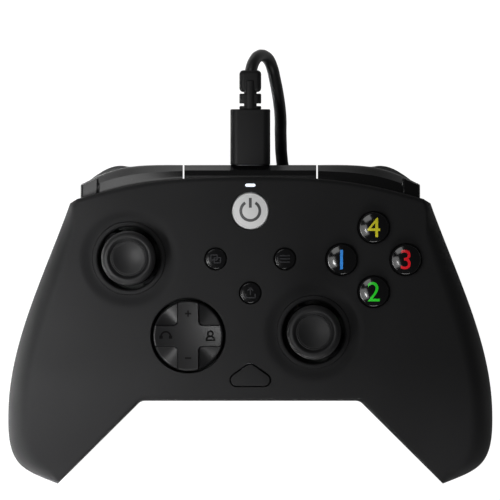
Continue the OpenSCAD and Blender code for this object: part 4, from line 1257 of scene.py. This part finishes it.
@dataclass
class Case:
    """The two shells of the case with every hole, and the collars round the sticks."""

    form: CaseForm = FORM
    steps_a_station: int = 6
    outer_steps: SkinSteps = SkinSteps(3, 7, 72, 14, 4)
    cavity_steps: SkinSteps = SkinSteps(2, 3, 10, 6, 2)
    stick_hole_r: float = 9.9
    collar_r: float = 11.6
    dpad_hole_r: float = 11.75
    collar_lip: float = 0.12
    dpad_lip: float = 0.5
    button_lip: float = 0.2
    guide_lip: float = 0.15
    function_play: float = 0.1
    light_play: float = 0.05
    cut_low: float = -9.0
    cut_high: float = 6.0
    screw_hole_r: float = 2.5
    jack_hole_r: float = 3.2
    jack_z: float = 29.4
    screws: tuple[Plan, ...] = ((57.0, 5.99), (61.0, -34.0))

    def build(self) -> None:
        """Make both shells, the collars and the screw wells."""
        front = self._shell(True).make("front_case")
        subtract(front, self._front_cutter().make("front_cutter"))
        place_piece(front, Body.CASE, SHELL, ["front_shell"])
        back = self._shell(False).make("back_case")
        subtract(back, self._back_cutter().make("back_cutter"))
        place_piece(back, Body.CASE, SHELL, ["back_shell"])
        for name, at in (("left_stick_collar", LEFT_STICK_AT), ("right_stick_collar", RIGHT_STICK_AT)):
            place_piece(self._collar(at).make(name), Body.CASE, SHELL)
        place_piece(self._wells().make("screw_wells"), Body.CASE, SHELL)

    def _shell(self, is_front: bool) -> Blank:
        """Join an outer skin and a cavity skin along their rims."""
        form, blank = self.form, Blank()
        count = form.last_station * self.steps_a_station
        stations = [i / self.steps_a_station for i in range(-count, count + 1)]
        loops = []
        for is_cavity, steps in ((False, self.outer_steps), (True, self.cavity_steps)):
            rows = [form.skin_row(k, is_front, is_cavity, steps) for k in stations]
            if is_front and not is_cavity:
                self._sink_dishes(rows)
            grid = blank.sheet(rows)
            for row in (grid[0], grid[-1]):
                blank.mesh.faces.new(row)
            rim = [row[0] for row in grid] + [row[-1] for row in reversed(grid)]
            loops += [blank.mesh.edges.get(pair) for pair in zip(rim, [*rim[1:], rim[0]])]
        bmesh.ops.bridge_loops(blank.mesh, edges=loops)
        return blank.settle()

    def _sink_dishes(self, rows: list[list[Vector]]) -> None:
        """Lower the outer skin round both sticks."""
        for row in rows:
            for point in row:
                for stick in (LEFT_STICK_AT, RIGHT_STICK_AT):
                    point.z -= self.form.dish_drop(point.x, point.y, stick)

    def _hole(self, at: Plan, radius: float, lip: float, sunk: float = 0.0) -> Blank:
        """A round cutter whose mouth leaves a rounded lip.

        Args:
            at: Place on the face.
            radius: Radius of the hole.
            lip: Radius of the rounding.
            sunk: How far the face is sunk there.

        Returns:
            The cutter in its place.
        """
        low, high = self.cut_low, self.cut_high
        mouth = [(radius + lip - lip * math.cos(a), -lip - sunk + lip * math.sin(a))
                 for a in (math.pi / 2 * i / 6 for i in range(7))]
        profile = [(0, low), (radius, low), *mouth, (radius + lip, high), (0, high)]
        return Blank().turn(profile, 96).move(self.form.face_tilt(*at))

    def _front_cutter(self) -> Blank:
        """Every hole of the face as one cutter."""
        cutter = Blank()
        for at in (LEFT_STICK_AT, RIGHT_STICK_AT):
            cutter.absorb(self._hole(at, self.collar_r, self.collar_lip, self.form.dish_depth))
        cutter.absorb(self._hole(DPAD_AT, self.dpad_hole_r, self.dpad_lip))
        for at in face_places().values():
            cutter.absorb(self._hole(at, FACE_BUTTON_R + BUTTON_GAP, self.button_lip))
        for at in (VIEW_AT, MENU_AT, SHARE_AT):
            cutter.absorb(self._hole(at, SMALL_BUTTON_R + BUTTON_GAP, self.button_lip))
        cutter.absorb(self._hole(GUIDE_AT, GUIDE_R + BUTTON_GAP, self.guide_lip))
        slots = (
            (FUNCTION_AT, function_outline(BUTTON_GAP + self.function_play)),
            (LIGHT_AT, light_outline(self.light_play)),
        )
        for at, outline in slots:
            slot = Blank().prism(outline, self.cut_low, self.cut_high)
            cutter.absorb(slot.move(self.form.face_tilt(*at)))
        return cutter

    def _back_cutter(self) -> Blank:
        """Screw holes and the headphone socket's hole as one cutter."""
        cutter = Blank()
        for x, y in self._screw_places():
            cutter.absorb(self._drill(self.screw_hole_r, 8).shift(x, y, self.form.back_level(x, y)))
        level = Matrix.Rotation(math.pi / 2, 4, "X")
        place = Matrix.Translation((0, self.form.notch_y, self.jack_z)) @ level
        return cutter.absorb(self._drill(self.jack_hole_r, 5).move(place))

    @staticmethod
    def _drill(radius: float, reach: float) -> Blank:
        """A plain round cutter that reaches up and down from the origin."""
        return Blank().turn([(0, -reach), (radius, -reach), (radius, reach), (0, reach)], 48)

    def _screw_places(self) -> list[Plan]:
        """Both sides' screws."""
        return [(sign * x, y) for x, y in self.screws for sign in (-1, 1)]

    def _collar(self, at: Plan) -> Blank:
        """The ring between a stick's dish and its hole."""
        low = -self.form.wall - self.form.dish_depth
        top = -self.form.dish_depth
        outer, inner = self.collar_r - 0.06, self.stick_hole_r
        profile = [(outer, low), (outer, top - 0.2), *arc((outer - 0.2, top - 0.2), 0.2, 0, 90, 4),
                   *arc((inner + 0.7, top - 0.7), 0.7, 90, 180, 8), (inner, low), (outer, low)]
        return Blank().turn(profile, 128).move(self.form.face_tilt(*at))

    def _wells(self) -> Blank:
        """Walls and seats of the screw holes in the back."""
        inner, outer, seat, floor_t, shank = self.screw_hole_r, 3.6, 5.0, 1.5, 1.4
        profile = [(inner, 0.4), (inner, seat), (shank, seat), (shank, seat + floor_t),
                   (outer, seat + floor_t), (outer, 1.6), (inner + 0.3, 0.4), (inner, 0.4)]
        wells = Blank()
        for x, y in self._screw_places():
            wells.absorb(Blank().turn(profile, 48).shift(x, y, self.form.back_level(x, y)))
        return wells


class Stencil:
    """Flat marks drawn in plan about a point and then laid on a curved surface."""

    depth = 0.12
    proud = 0.03

    def __init__(self) -> None:
        """Start with nothing drawn."""
        self.blank = Blank()

    def bar(self, start: Plan, stop: Plan, width: float) -> Stencil:
        """Draw a straight stroke.

        Args:
            start: One end of the stroke's middle line.
            stop: Its other end.
            width: Width of the stroke.

        Returns:
            This stencil.
        """
        along = (Vector(stop) - Vector(start)).normalized() * (width / 2)
        across = Vector((-along.y, along.x))
        first, last = Vector(start), Vector(stop)
        corners = [first - across, last - across, last + across, first + across]
        return self._raise([(c.x, c.y) for c in corners])

    def ring(
        self, centre: Plan, radius: float, width: float, start: float = 0, stop: float = 360
    ) -> Stencil:
        """Draw a curved stroke.

        Args:
            centre: Middle of its circle.
            radius: Radius of its middle line.
            width: Width of the stroke.
            start: First angle in degrees.
            stop: Last angle in degrees.

        Returns:
            This stencil.
        """
        parts = max(2, round((stop - start) / 60))
        for i in range(parts):
            first, last = mix(start, stop, i / parts), mix(start, stop, (i + 1) / parts)
            outer = arc(centre, radius + width / 2, first, last, 8)
            inner = arc(centre, radius - width / 2, last, first, 8)
            self._raise([*outer, *inner])
        return self

    def figure(self, text: str, height: float) -> Stencil:
        """Draw a plain number in the middle.

        Args:
            text: The number.
            height: Height of its figures.

        Returns:
            This stencil.
        """
        letters = bpy.data.curves.new("figure", "FONT")
        letters.body = text
        letters.align_x, letters.align_y = "CENTER", "CENTER"
        letters.extrude = self.depth / 2
        holder = bpy.data.objects.new("figure", letters)
        bpy.context.scene.collection.objects.link(holder)
        graph = bpy.context.evaluated_depsgraph_get()
        flat = bpy.data.meshes.new_from_object(holder.evaluated_get(graph))
        bpy.data.objects.remove(holder)
        part = Blank()
        part.mesh.from_mesh(flat)
        part.settle()
        xs, ys = ([v.co[i] for v in part.mesh.verts] for i in (0, 1))
        part.shift(-(min(xs) + max(xs)) / 2, -(min(ys) + max(ys)) / 2, 0)
        scale = height / (max(ys) - min(ys))
        part.move(Matrix.Diagonal((scale, scale, 1, 1))).shift(0, 0, -self.depth / 2)
        self.blank.absorb(part)
        return self

    def _raise(self, outline: list[Plan]) -> Stencil:
        """Add one filled outline."""
        self.blank.absorb(Blank().prism(outline, -self.depth, 0))
        return self

    def lay(
        self, name: str, at: Plan, level: Callable[[float, float], float], grid: float = 0.5
    ) -> bpy.types.Object:
        """Lay the marks on a surface.

        Args:
            name: Name of the made object.
            at: Plan point of the marks' middle.
            level: Height of the surface over a point, from the middle.
            grid: Size of the squares that follow the surface.

        Returns:
            The marks.
        """
        self.blank.slice_grid(grid)
        for vert in self.blank.mesh.verts:
            vert.co.z += level(vert.co.x, vert.co.y) + self.proud
        return self.blank.shift(at[0], at[1], 0).make(name)


@dataclass
class Stick:
    """A thumb stick: its rubber cap and the skirt that closes its hole."""

    name: str
    at: Plan
    body: Body
    rise: float = 13.6
    cap_r: float = 8.55
    crest: float = 1.75
    dish_r: float = 4.85
    neck_r: float = 3.4
    neck_rise: float = 4.0
    pivot_z: float = 40.5
    skirt_r: float = 9.6
    skirt_t: float = 0.8

    def build(self) -> None:
        """Make the cap and the skirt."""
        cap = self._cap().make(f"{self.name}_thumb")
        place_piece(cap, self.body, STICK, [f"{self.name}_cap"])
        # The skirt's finish is partly painted shade for the gap round the stick.
        place_piece(self._skirt().make(f"{self.name}_skirt"), self.body, SKIRT_PAINTED_SHADE)

    def _cap(self) -> Blank:
        """Turned cap: neck, rounded rim, steep inner slope, fine ring and a hollow for the thumb."""
        top = FORM.face_level(*self.at) + self.rise
        r, ring_r = self.cap_r, self.dish_r + 0.5
        low = self.pivot_z + self.neck_rise
        crest_at = (r - self.crest, top - self.crest)
        neck = [(0, low), (self.neck_r, low), (self.neck_r, top - 8)]
        side = [(r - 1.6, top - 5.6), (r - 0.2, top - 4.4)]
        slope = [(ring_r + 0.6, top - 0.65), (ring_r + 0.3, top - 0.8)]
        inner = [(crest_at[0], top), (crest_at[0] - 0.5, top), *slope]
        bowl = [(self.dish_r, top - 0.8), (self.dish_r - 0.5, top - 0.95)]
        hollow = [*bowl, (2.4, top - 1.6), (0, top - 1.6)]
        profile = [
            *neck, *side, *arc(crest_at, self.crest, 0, 90, 14), *curve(inner, 8)[1:],
            *arc((ring_r, top - 0.84), 0.2, 10, 170, 6), *curve(hollow, 14),
        ]
        return Blank().turn(profile, 144).shift(*self.at, 0)

    def _skirt(self) -> Blank:
        """Part of a sphere about the stick's pivot."""
        outer = arc((0, self.pivot_z), self.skirt_r, 72, 24, 14)
        inner = arc((0, self.pivot_z), self.skirt_r - self.skirt_t, 24, 72, 14)
        return Blank().turn([*outer, *inner, outer[0]], 96).shift(*self.at, 0)


@dataclass
class DirectionPad:
    """The round direction pad: a hollow cross with scooped quarters between its arms."""

    at: Plan = DPAD_AT
    radius: float = 11.0
    lip: float = 0.6
    arm_half: float = 3.2
    corner_r: float = 1.5
    under: float = -2.6
    centre_z: float = 0.65
    rim_z: float = 1.75
    step: float = 0.3
    wall_start: float = -0.08
    wall_w: float = 0.36
    scoop: float = 2.1
    around: int = 256
    rings: int = 46

    def build(self) -> None:
        """Make the pad and its marks."""
        pad = self._pad().make("direction_pad")
        place_piece(pad, Body.DPAD, DPAD, ["dpad_cap"])
        reach, width = 7.0, 0.52
        plus = Stencil().bar((-1, reach), (1, reach), width).bar((0, reach - 1), (0, reach + 1), width)
        minus = Stencil().bar((-1, -reach), (1, -reach), width)
        headset = Stencil().ring((-reach, -0.2), 1.5, width, 0, 180)
        for side in (-1.5, 1.5):
            headset.bar((side - reach, -0.9), (side - reach, 0.1), 2 * width)
        person = Stencil().ring((reach, 0.7), 0.8, width)
        person.ring((reach, -1.4), 1.3, width, 0, 180).bar((reach - 1.5, -1.4), (reach + 1.5, -1.4), width)
        marks = {"plus": plus, "minus": minus, "headset": headset, "person": person}
        for name, stencil in marks.items():
            place_piece(stencil.lay(f"dpad_{name}_mark", self.at, self._level), Body.DPAD, ICON)

    def _level(self, x: float, y: float) -> float:
        """Height of the pad's top over a point, from its middle."""
        return FORM.face_level(*self.at) + self._rise(x, y)

    def _rise(self, x: float, y: float) -> float:
        """Rise of the pad's top above the face over a point, from its middle."""
        away = math.hypot(x, y) / self.radius
        dish = mix(self.centre_z, self.rim_z, away**2)
        gaps = [max(self.corner_r - abs(v) + self.arm_half, 0) for v in (x, y)]
        outside = self.corner_r - math.hypot(*gaps)
        share = ease((outside - self.wall_start) / self.wall_w)
        diagonal = (2 * x * y / max(x * x + y * y, 1e-6)) ** 2
        valley = self.step + self.scoop * diagonal * away**1.2
        past = clamp((away * self.radius - self.radius + self.lip) / self.lip)
        return dish - share * valley - self.lip * (1 - math.sqrt(1 - past * past))

    def _pad(self) -> Blank:
        """A disc of rings of points, cut along the walls of the arms and raised to its form."""
        reach = [self.radius * i / self.rings for i in range(self.rings)]
        reach += [self.radius - self.lip * (1 - math.sin(math.pi / 2 * i / 6)) for i in range(3, 7)]
        reach.sort()
        angles = [math.tau * i / self.around for i in range(self.around + 1)]
        rings = [*[(r, 0.0) for r in reach], (self.radius, self.under), (0.0, self.under)]
        blank = Blank()
        blank.sheet([[Vector((r * math.cos(a), r * math.sin(a), z)) for a in angles] for r, z in rings])
        steps = 6
        for axis, side in itertools.product((0, 1), (-1, 1)):
            for i in range(steps + 1):
                blank.cut(axis, side * (self.arm_half + self.wall_start + self.wall_w * i / steps))
        for vert in blank.mesh.verts:
            if vert.co.z > self.under / 2:
                vert.co.z = self._rise(vert.co.x, vert.co.y)
        return blank.settle().shift(*self.at, FORM.face_level(*self.at))


@dataclass
class PushButton:
    """A round button with a domed top, a flange under the face and a hollow over its rubber dome."""

    at: Plan
    body: Body
    radius: float
    rise: float
    crown: float
    travel: float
    finish: Finish
    slot: str
    depth: float = 4.6
    hollow_wall: float = 1.4
    dome_room: float = 0.6
    flange: float = 0.9
    flange_drop: float = 2.9
    edge: float = 0.5

    def build(self) -> None:
        """Make the button."""
        cap = self._cap().make(f"{self.node}_cap")
        place_piece(cap, self.body, self.finish, [self.node])

    @property
    def node(self) -> str:
        """The frame node that the button stands for."""
        return self.body.value

    def mark(self, stencil: Stencil, finish: Finish) -> None:
        """Lay marks on the button's top."""
        mark = stencil.lay(f"{self.node}_mark", self.at, self._level)
        place_piece(mark, self.body, finish)

    def _dome(self, away: float) -> float:
        """Rise of the top at a distance from its middle."""
        return self.rise + self.crown * (1 - (away / self.radius) ** 2)

    def _level(self, x: float, y: float) -> float:
        """Height of the top over a point, from its middle."""
        return FORM.face_level(*self.at) + self._dome(math.hypot(x, y))

    def _cap(self) -> Blank:
        """Turned cap."""
        r, start = self.radius, self.radius - self.edge
        corner = [(r, self.rise - self.edge), (r, self.rise - 0.1), (r - 0.2, self._dome(start) + 0.08),
                  (start, self._dome(start))]
        top = [(start * (1 - i / 16), self._dome(start * (1 - i / 16))) for i in range(1, 17)]
        hollow, roof = r - self.hollow_wall, self.travel + self.dome_room - self.depth
        profile = [(0, roof), (hollow, roof), (hollow, -self.depth), (r + self.flange, -self.depth),
                   (r + self.flange, -self.flange_drop), (r, -self.flange_drop), *curve(corner, 6), *top]
        return Blank().turn(profile, 96).shift(*self.at, FORM.face_level(*self.at))


@dataclass
class FaceControls:
    """Every button of the face with its mark, and the status light."""

    figure_h: float = 6.1
    function_low: float = -2.9
    function_rise: float = 0.6
    lens_gap: float = 0.12
    lens_low: float = -3.0
    lens_rise: float = 0.02
    line: float = 0.4

    def build(self) -> None:
        """Make the four face buttons, the small ones, the guide, the function button and the light."""
        self._face_buttons()
        self._small_buttons()
        self._guide()
        cap = Blank().prism(function_outline(0), self.function_low, self.function_rise)
        cap = cap.round_edges(0.3, 4, 60).shift(*FUNCTION_AT, FORM.face_level(*FUNCTION_AT))
        place_piece(cap.make("function_cap"), Body.FUNCTION, SHELL, ["function_button"])
        lens = Blank().prism(light_outline(-self.lens_gap), self.lens_low, self.lens_rise)
        lens = lens.move(FORM.face_tilt(*LIGHT_AT))
        place_piece(lens.make("status_lens"), Body.CASE, LIGHT, ["status_light"])

    def _face_buttons(self) -> None:
        """Four buttons in a diamond with plain numbers in four colours."""
        marks = (("1", BLUE), ("2", GREEN), ("3", RED), ("4", YELLOW))
        for (body, at), (number, colour) in zip(face_places().items(), marks):
            button = PushButton(
                at, body, FACE_BUTTON_R, rise=1.9, crown=1.0, travel=1.6, finish=BUTTON, slot="button"
            )
            button.build()
            button.mark(Stencil().figure(number, self.figure_h), colour)

    def _small_buttons(self) -> None:
        """Three small buttons: two squares, three lines, an arrow over a tray."""
        w = self.line
        squares = Stencil()
        half_w, half_h = 1.0, 0.8
        for x, y in ((-0.55, 0.45), (0.55, -0.45)):
            for level in (y - half_h, y + half_h):
                squares.bar((x - half_w, level), (x + half_w, level), w)
            for side in (x - half_w, x + half_w):
                squares.bar((side, y - half_h), (side, y + half_h), w)
        lines = Stencil()
        for y in (-1, 0, 1):
            lines.bar((-1.6, y), (1.6, y), w)
        tray = Stencil().bar((-1.7, -1.5), (1.7, -1.5), w).bar((0, -0.6), (0, 1.6), w)
        for side in (-1, 1):
            tray.bar((side * 1.5, -1.5), (side * 1.5, -0.3), w).bar((side * 0.9, 0.7), (0, 1.6), w)
        buttons = (
            (Body.VIEW, VIEW_AT, squares),
            (Body.MENU, MENU_AT, lines),
            (Body.SHARE, SHARE_AT, tray),
        )
        for body, at, stencil in buttons:
            button = PushButton(
                at, body, SMALL_BUTTON_R, rise=0.8, crown=0.32, travel=0.8, finish=BUTTON, slot="button"
            )
            button.build()
            button.mark(stencil, ETCHED)

    def _guide(self) -> None:
        """The pale disc with a plain standby mark."""
        button = PushButton(
            GUIDE_AT, Body.GUIDE, GUIDE_R, rise=0.4, crown=0.5, travel=0.8, finish=DISC, slot="pale_disc"
        )
        button.build()
        button.mark(Stencil().ring((0, 0), 3.0, 0.9, 122, 418).bar((0, 1.0), (0, 4.1), 0.9), MARK)


@dataclass
class Shoulders:
    """The glossy band along the top edge: centre bridge, bumpers and the triggers under them."""

    form: CaseForm = FORM
    bridge_half: float = 20.8
    slit: float = 0.5
    drop: float = 3.8
    low: float = 34.0
    end_inset: float = 23.0
    tuck: float = 2.5
    band_share: float = 0.56
    band_fall: float = 0.9
    facet_fall: float = 4.0
    end_x: float = 48.0
    end_share: float = 0.9
    end_slope: float = 0.04
    end_r: float = 0.6
    groove: float = 0.25
    stations: int = 120
    trigger_in: float = 29.0
    trigger_w: float = 22.0
    trigger_axis: Plan = (42.0, 30.0)
    barrel_r: float = 3.2
    plate_t: float = 2.6
    port: Plan = (9.8, 3.9)
    port_z: float = PORT_Z
    skirt_z: float = 24.0

    def build(self) -> None:
        """Make the bridge, then the bumper and trigger of each side."""
        bridge = self._bridge().make("centre_bridge")
        subtract(bridge, self._port_cutter().make("port_cutter"))
        place_piece(bridge, Body.CASE, GLOSS, ["top_bridge"])
        sides = (
            ("right", Body.RIGHT_BUMPER, Body.RIGHT_TRIGGER),
            ("left", Body.LEFT_BUMPER, Body.LEFT_TRIGGER),
        )
        for side, bumper_body, trigger_body in sides:
            bumper, trigger = self._bumper(), self._trigger()
            if side == "left":
                bumper.flip()
                trigger.flip()
            shoulder = bumper.make(f"{side}_shoulder")
            place_piece(shoulder, bumper_body, GLOSS, [f"{side}_bumper"])
            plate = trigger.make(f"{side}_finger_plate")
            place_piece(plate, trigger_body, TRIGGER, [f"{side}_trigger"])

    def _front(self, t: float) -> Plan:
        """Front edge of the right bumper."""
        y = self.form.top_y
        ends = [(self.bridge_half + self.slit, y - 0.1), (38, y + 0.1), (42, y - 0.4)]
        return bezier([*ends, (self.form.half_w - self.end_inset, y - 6.3)], t)

    def _edge_y(self, x: float) -> float:
        """The case's top edge over a distance from the middle."""
        low, high = 0.0, 1.0
        for _ in range(24):
            middle = (low + high) / 2
            if bezier(self.form.top_arch, middle)[0] < x:
                low = middle
            else:
                high = middle
        return bezier(self.form.top_arch, low)[1]

    def _section(self, back: float, front: float, top: float, low: float, share: float) -> list[Plan]:
        """Closed section of the band: flat under the lip, sloping band, crease, facet, rounded front.

        Args:
            back: The case's top edge there.
            front: The band's front edge there.
            top: Height under the case's lip.
            low: Height of the underside.
            share: Share of the depth that the sloping band takes.

        Returns:
            Depth and height of each point.
        """
        crease = (mix(back, front, share), top - self.band_fall)
        start = (back + 0.3, top)
        foot = (front - 0.35, top - min(self.facet_fall, top - low - 1.9) + 0.7)
        band = [start, mix_plan(start, crease, 0.35), mix_plan(start, crease, 0.7), crease]
        facet = [crease, mix_plan(crease, foot, 0.35), mix_plan(crease, foot, 0.7), foot]
        nose = [foot, (front - 0.1, foot[1] - 0.3), (front, foot[1] - 0.6), (front, foot[1] - 1.2)]
        return [(back - self.tuck, low), (back - self.tuck, top), *curve(band, 4), *curve(facet, 4)[1:],
                *curve(nose, 5)[1:], (front, low + 0.4), (front - 0.4, low)]

    def _end_drop(self, x: float) -> float:
        """How far the top falls towards the bumper's rounded end, past a fine groove."""
        past = clamp((x - self.form.half_w + self.end_inset) / self.end_r + 1)
        notch = self.groove * max(0.0, 1 - abs(x - self.end_x) / 0.35)
        slope = self.end_slope * max(0.0, x - self.end_x)
        return notch + slope + self.end_r * (1 - math.sqrt(1 - past * past))

    def _bumper(self) -> Blank:
        """The right bumper, a section carried along its front edge."""
        loops = []
        for i in range(self.stations + 1):
            x, front = self._front(i / self.stations)
            back = self._edge_y(x)
            top = self.form.face_level(x, back) - self.drop - self._end_drop(x)
            share = mix(self.band_share, self.end_share, ease((x - self.end_x + 0.3) / 0.6))
            loops.append([Vector((x, y, z)) for y, z in self._section(back, front, top, self.low, share)])
        return Blank().loft(loops)

    def _bridge(self) -> Blank:
        """The centre piece, the same section carried straight across and let down to a skirt."""
        top = self.form.face_h - self.drop
        back, front = self.form.edge_y, self.form.top_y - 0.1
        outline = self._section(back, front, top, self.skirt_z, self.band_share)[1:-2]
        outline += [(front, self.skirt_z + 2), (front - 0.7, self.skirt_z), (back - 1.4, self.skirt_z),
                    (back - 1.4, top - 2.8), (back - self.tuck, top - 2.8)]
        ends = (-self.bridge_half, self.bridge_half)
        return Blank().loft([[Vector((x, y, z)) for y, z in outline] for x in ends])

    def _port_cutter(self) -> Blank:
        """Rounded slot for the lead's plug."""
        radius = self.port[1] / 2
        reach = self.port[0] / 2 - radius
        slot = Blank().prism(rounded_outline([(reach, 0, radius), (-reach, 0, radius)], 12), -12, 12)
        level = Matrix.Rotation(math.pi / 2, 4, "X")
        return slot.move(Matrix.Translation((0, self.form.top_y - 2, self.port_z)) @ level)

    def _trigger_reach(self, x: float) -> float:
        """How far the right trigger reaches forward at a distance from the middle, as a share."""
        y, limit = self.trigger_axis[0], self.form.top_y
        outer = self.trigger_in + self.trigger_w + 1
        brow = [(39, limit - 0.4), (43, limit + 0.6), (46.5, limit - 1), (outer, limit - 5.4)]
        if x <= brow[0][0]:
            return (brow[0][1] - y) / (limit - y)
        near = min((bezier(brow, i / 200) for i in range(201)), key=lambda p: abs(p[0] - x))
        return (min(near[1], limit) - y) / (limit - y)

    def _trigger(self) -> Blank:
        """The right trigger: a curved plate on a barrel, carried along its pin."""
        y, z = self.trigger_axis
        limit, tip_z = self.form.top_y, 3.2
        knee = (y + 6.4, 16.0)
        behind = (knee[0] - self.plate_t, knee[1])
        back = [behind, (behind[0] + 0.4, behind[1] + 5), (y + 2, z - 6), (y, z - self.barrel_r)]
        outline = [
            *curve([(y, z + self.barrel_r), (y + 6, z + 2.6), (y + 7.6, z - 6), knee], 14),
            *curve([knee, (knee[0] - 0.8, 10), (y + 5.8, 6), (limit, tip_z + 0.6)], 14)[1:],
            *curve([(limit, tip_z), (limit - 0.8, tip_z - 1.6), (y + 5.4, 0), (y + 3, 0)], 10),
            *curve([(y + 3, 0), (y + 1.4, 0), (y + 3.6, 6), behind], 12)[1:],
            *curve(back, 12)[1:],
            *arc(self.trigger_axis, self.barrel_r, 270, 90, 14)[1:-1],
        ]
        loops = []
        steps = 32
        for i in range(steps + 1):
            x = self.trigger_in + self.trigger_w * i / steps
            reach = self._trigger_reach(x)
            loops.append([Vector((x, y + (p - y) * (reach if p > y else 1), q)) for p, q in outline])
        return Blank().loft(loops).round_edges(0.5, 4, 60)


@dataclass
class Innards:
    """Finishes of the frame's own solids that show through gaps or with the case off."""

    nodes: Mapping[str, bpy.types.Object]
    finishes: tuple[tuple[str, Finish], ...] = (
        ("board", BOARD_PAINTED_SHADE),
        ("membrane", MEMBRANE),
        ("housing", STEEL_PAINTED_SHADE),
        ("pin", STEEL_PAINTED_SHADE),
        ("shaft", STEEL_PAINTED_SHADE),
        ("motor", STEEL),
        ("screws", STEEL),
        ("socket", STEEL),
        ("sensors", BOARD_PAINTED_SHADE),
        ("tie", TIE),
    )

    def build(self) -> None:
        """Give each node the finish that its name calls for."""
        for name, node in self.nodes.items():
            finish = next((f for word, f in self.finishes if word in name), INNER)
            node.data.materials.clear()
            node.data.materials.append(finish.material())
            LOG.info("%s is finished in %s", name, finish.name)


def main() -> None:
    """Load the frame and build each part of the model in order."""
    logging.basicConfig(level=logging.INFO, format="%(name)s: %(message)s")
    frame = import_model()
    Studio().build()
    Lead().build()
    Case().build()
    Stick("left_stick", LEFT_STICK_AT, Body.LEFT_STICK).build()
    Stick("right_stick", RIGHT_STICK_AT, Body.RIGHT_STICK).build()
    DirectionPad().build()
    FaceControls().build()
    Shoulders().build()
    Innards(frame["nodes"]).build()


if __name__ == "__main__":
    main()
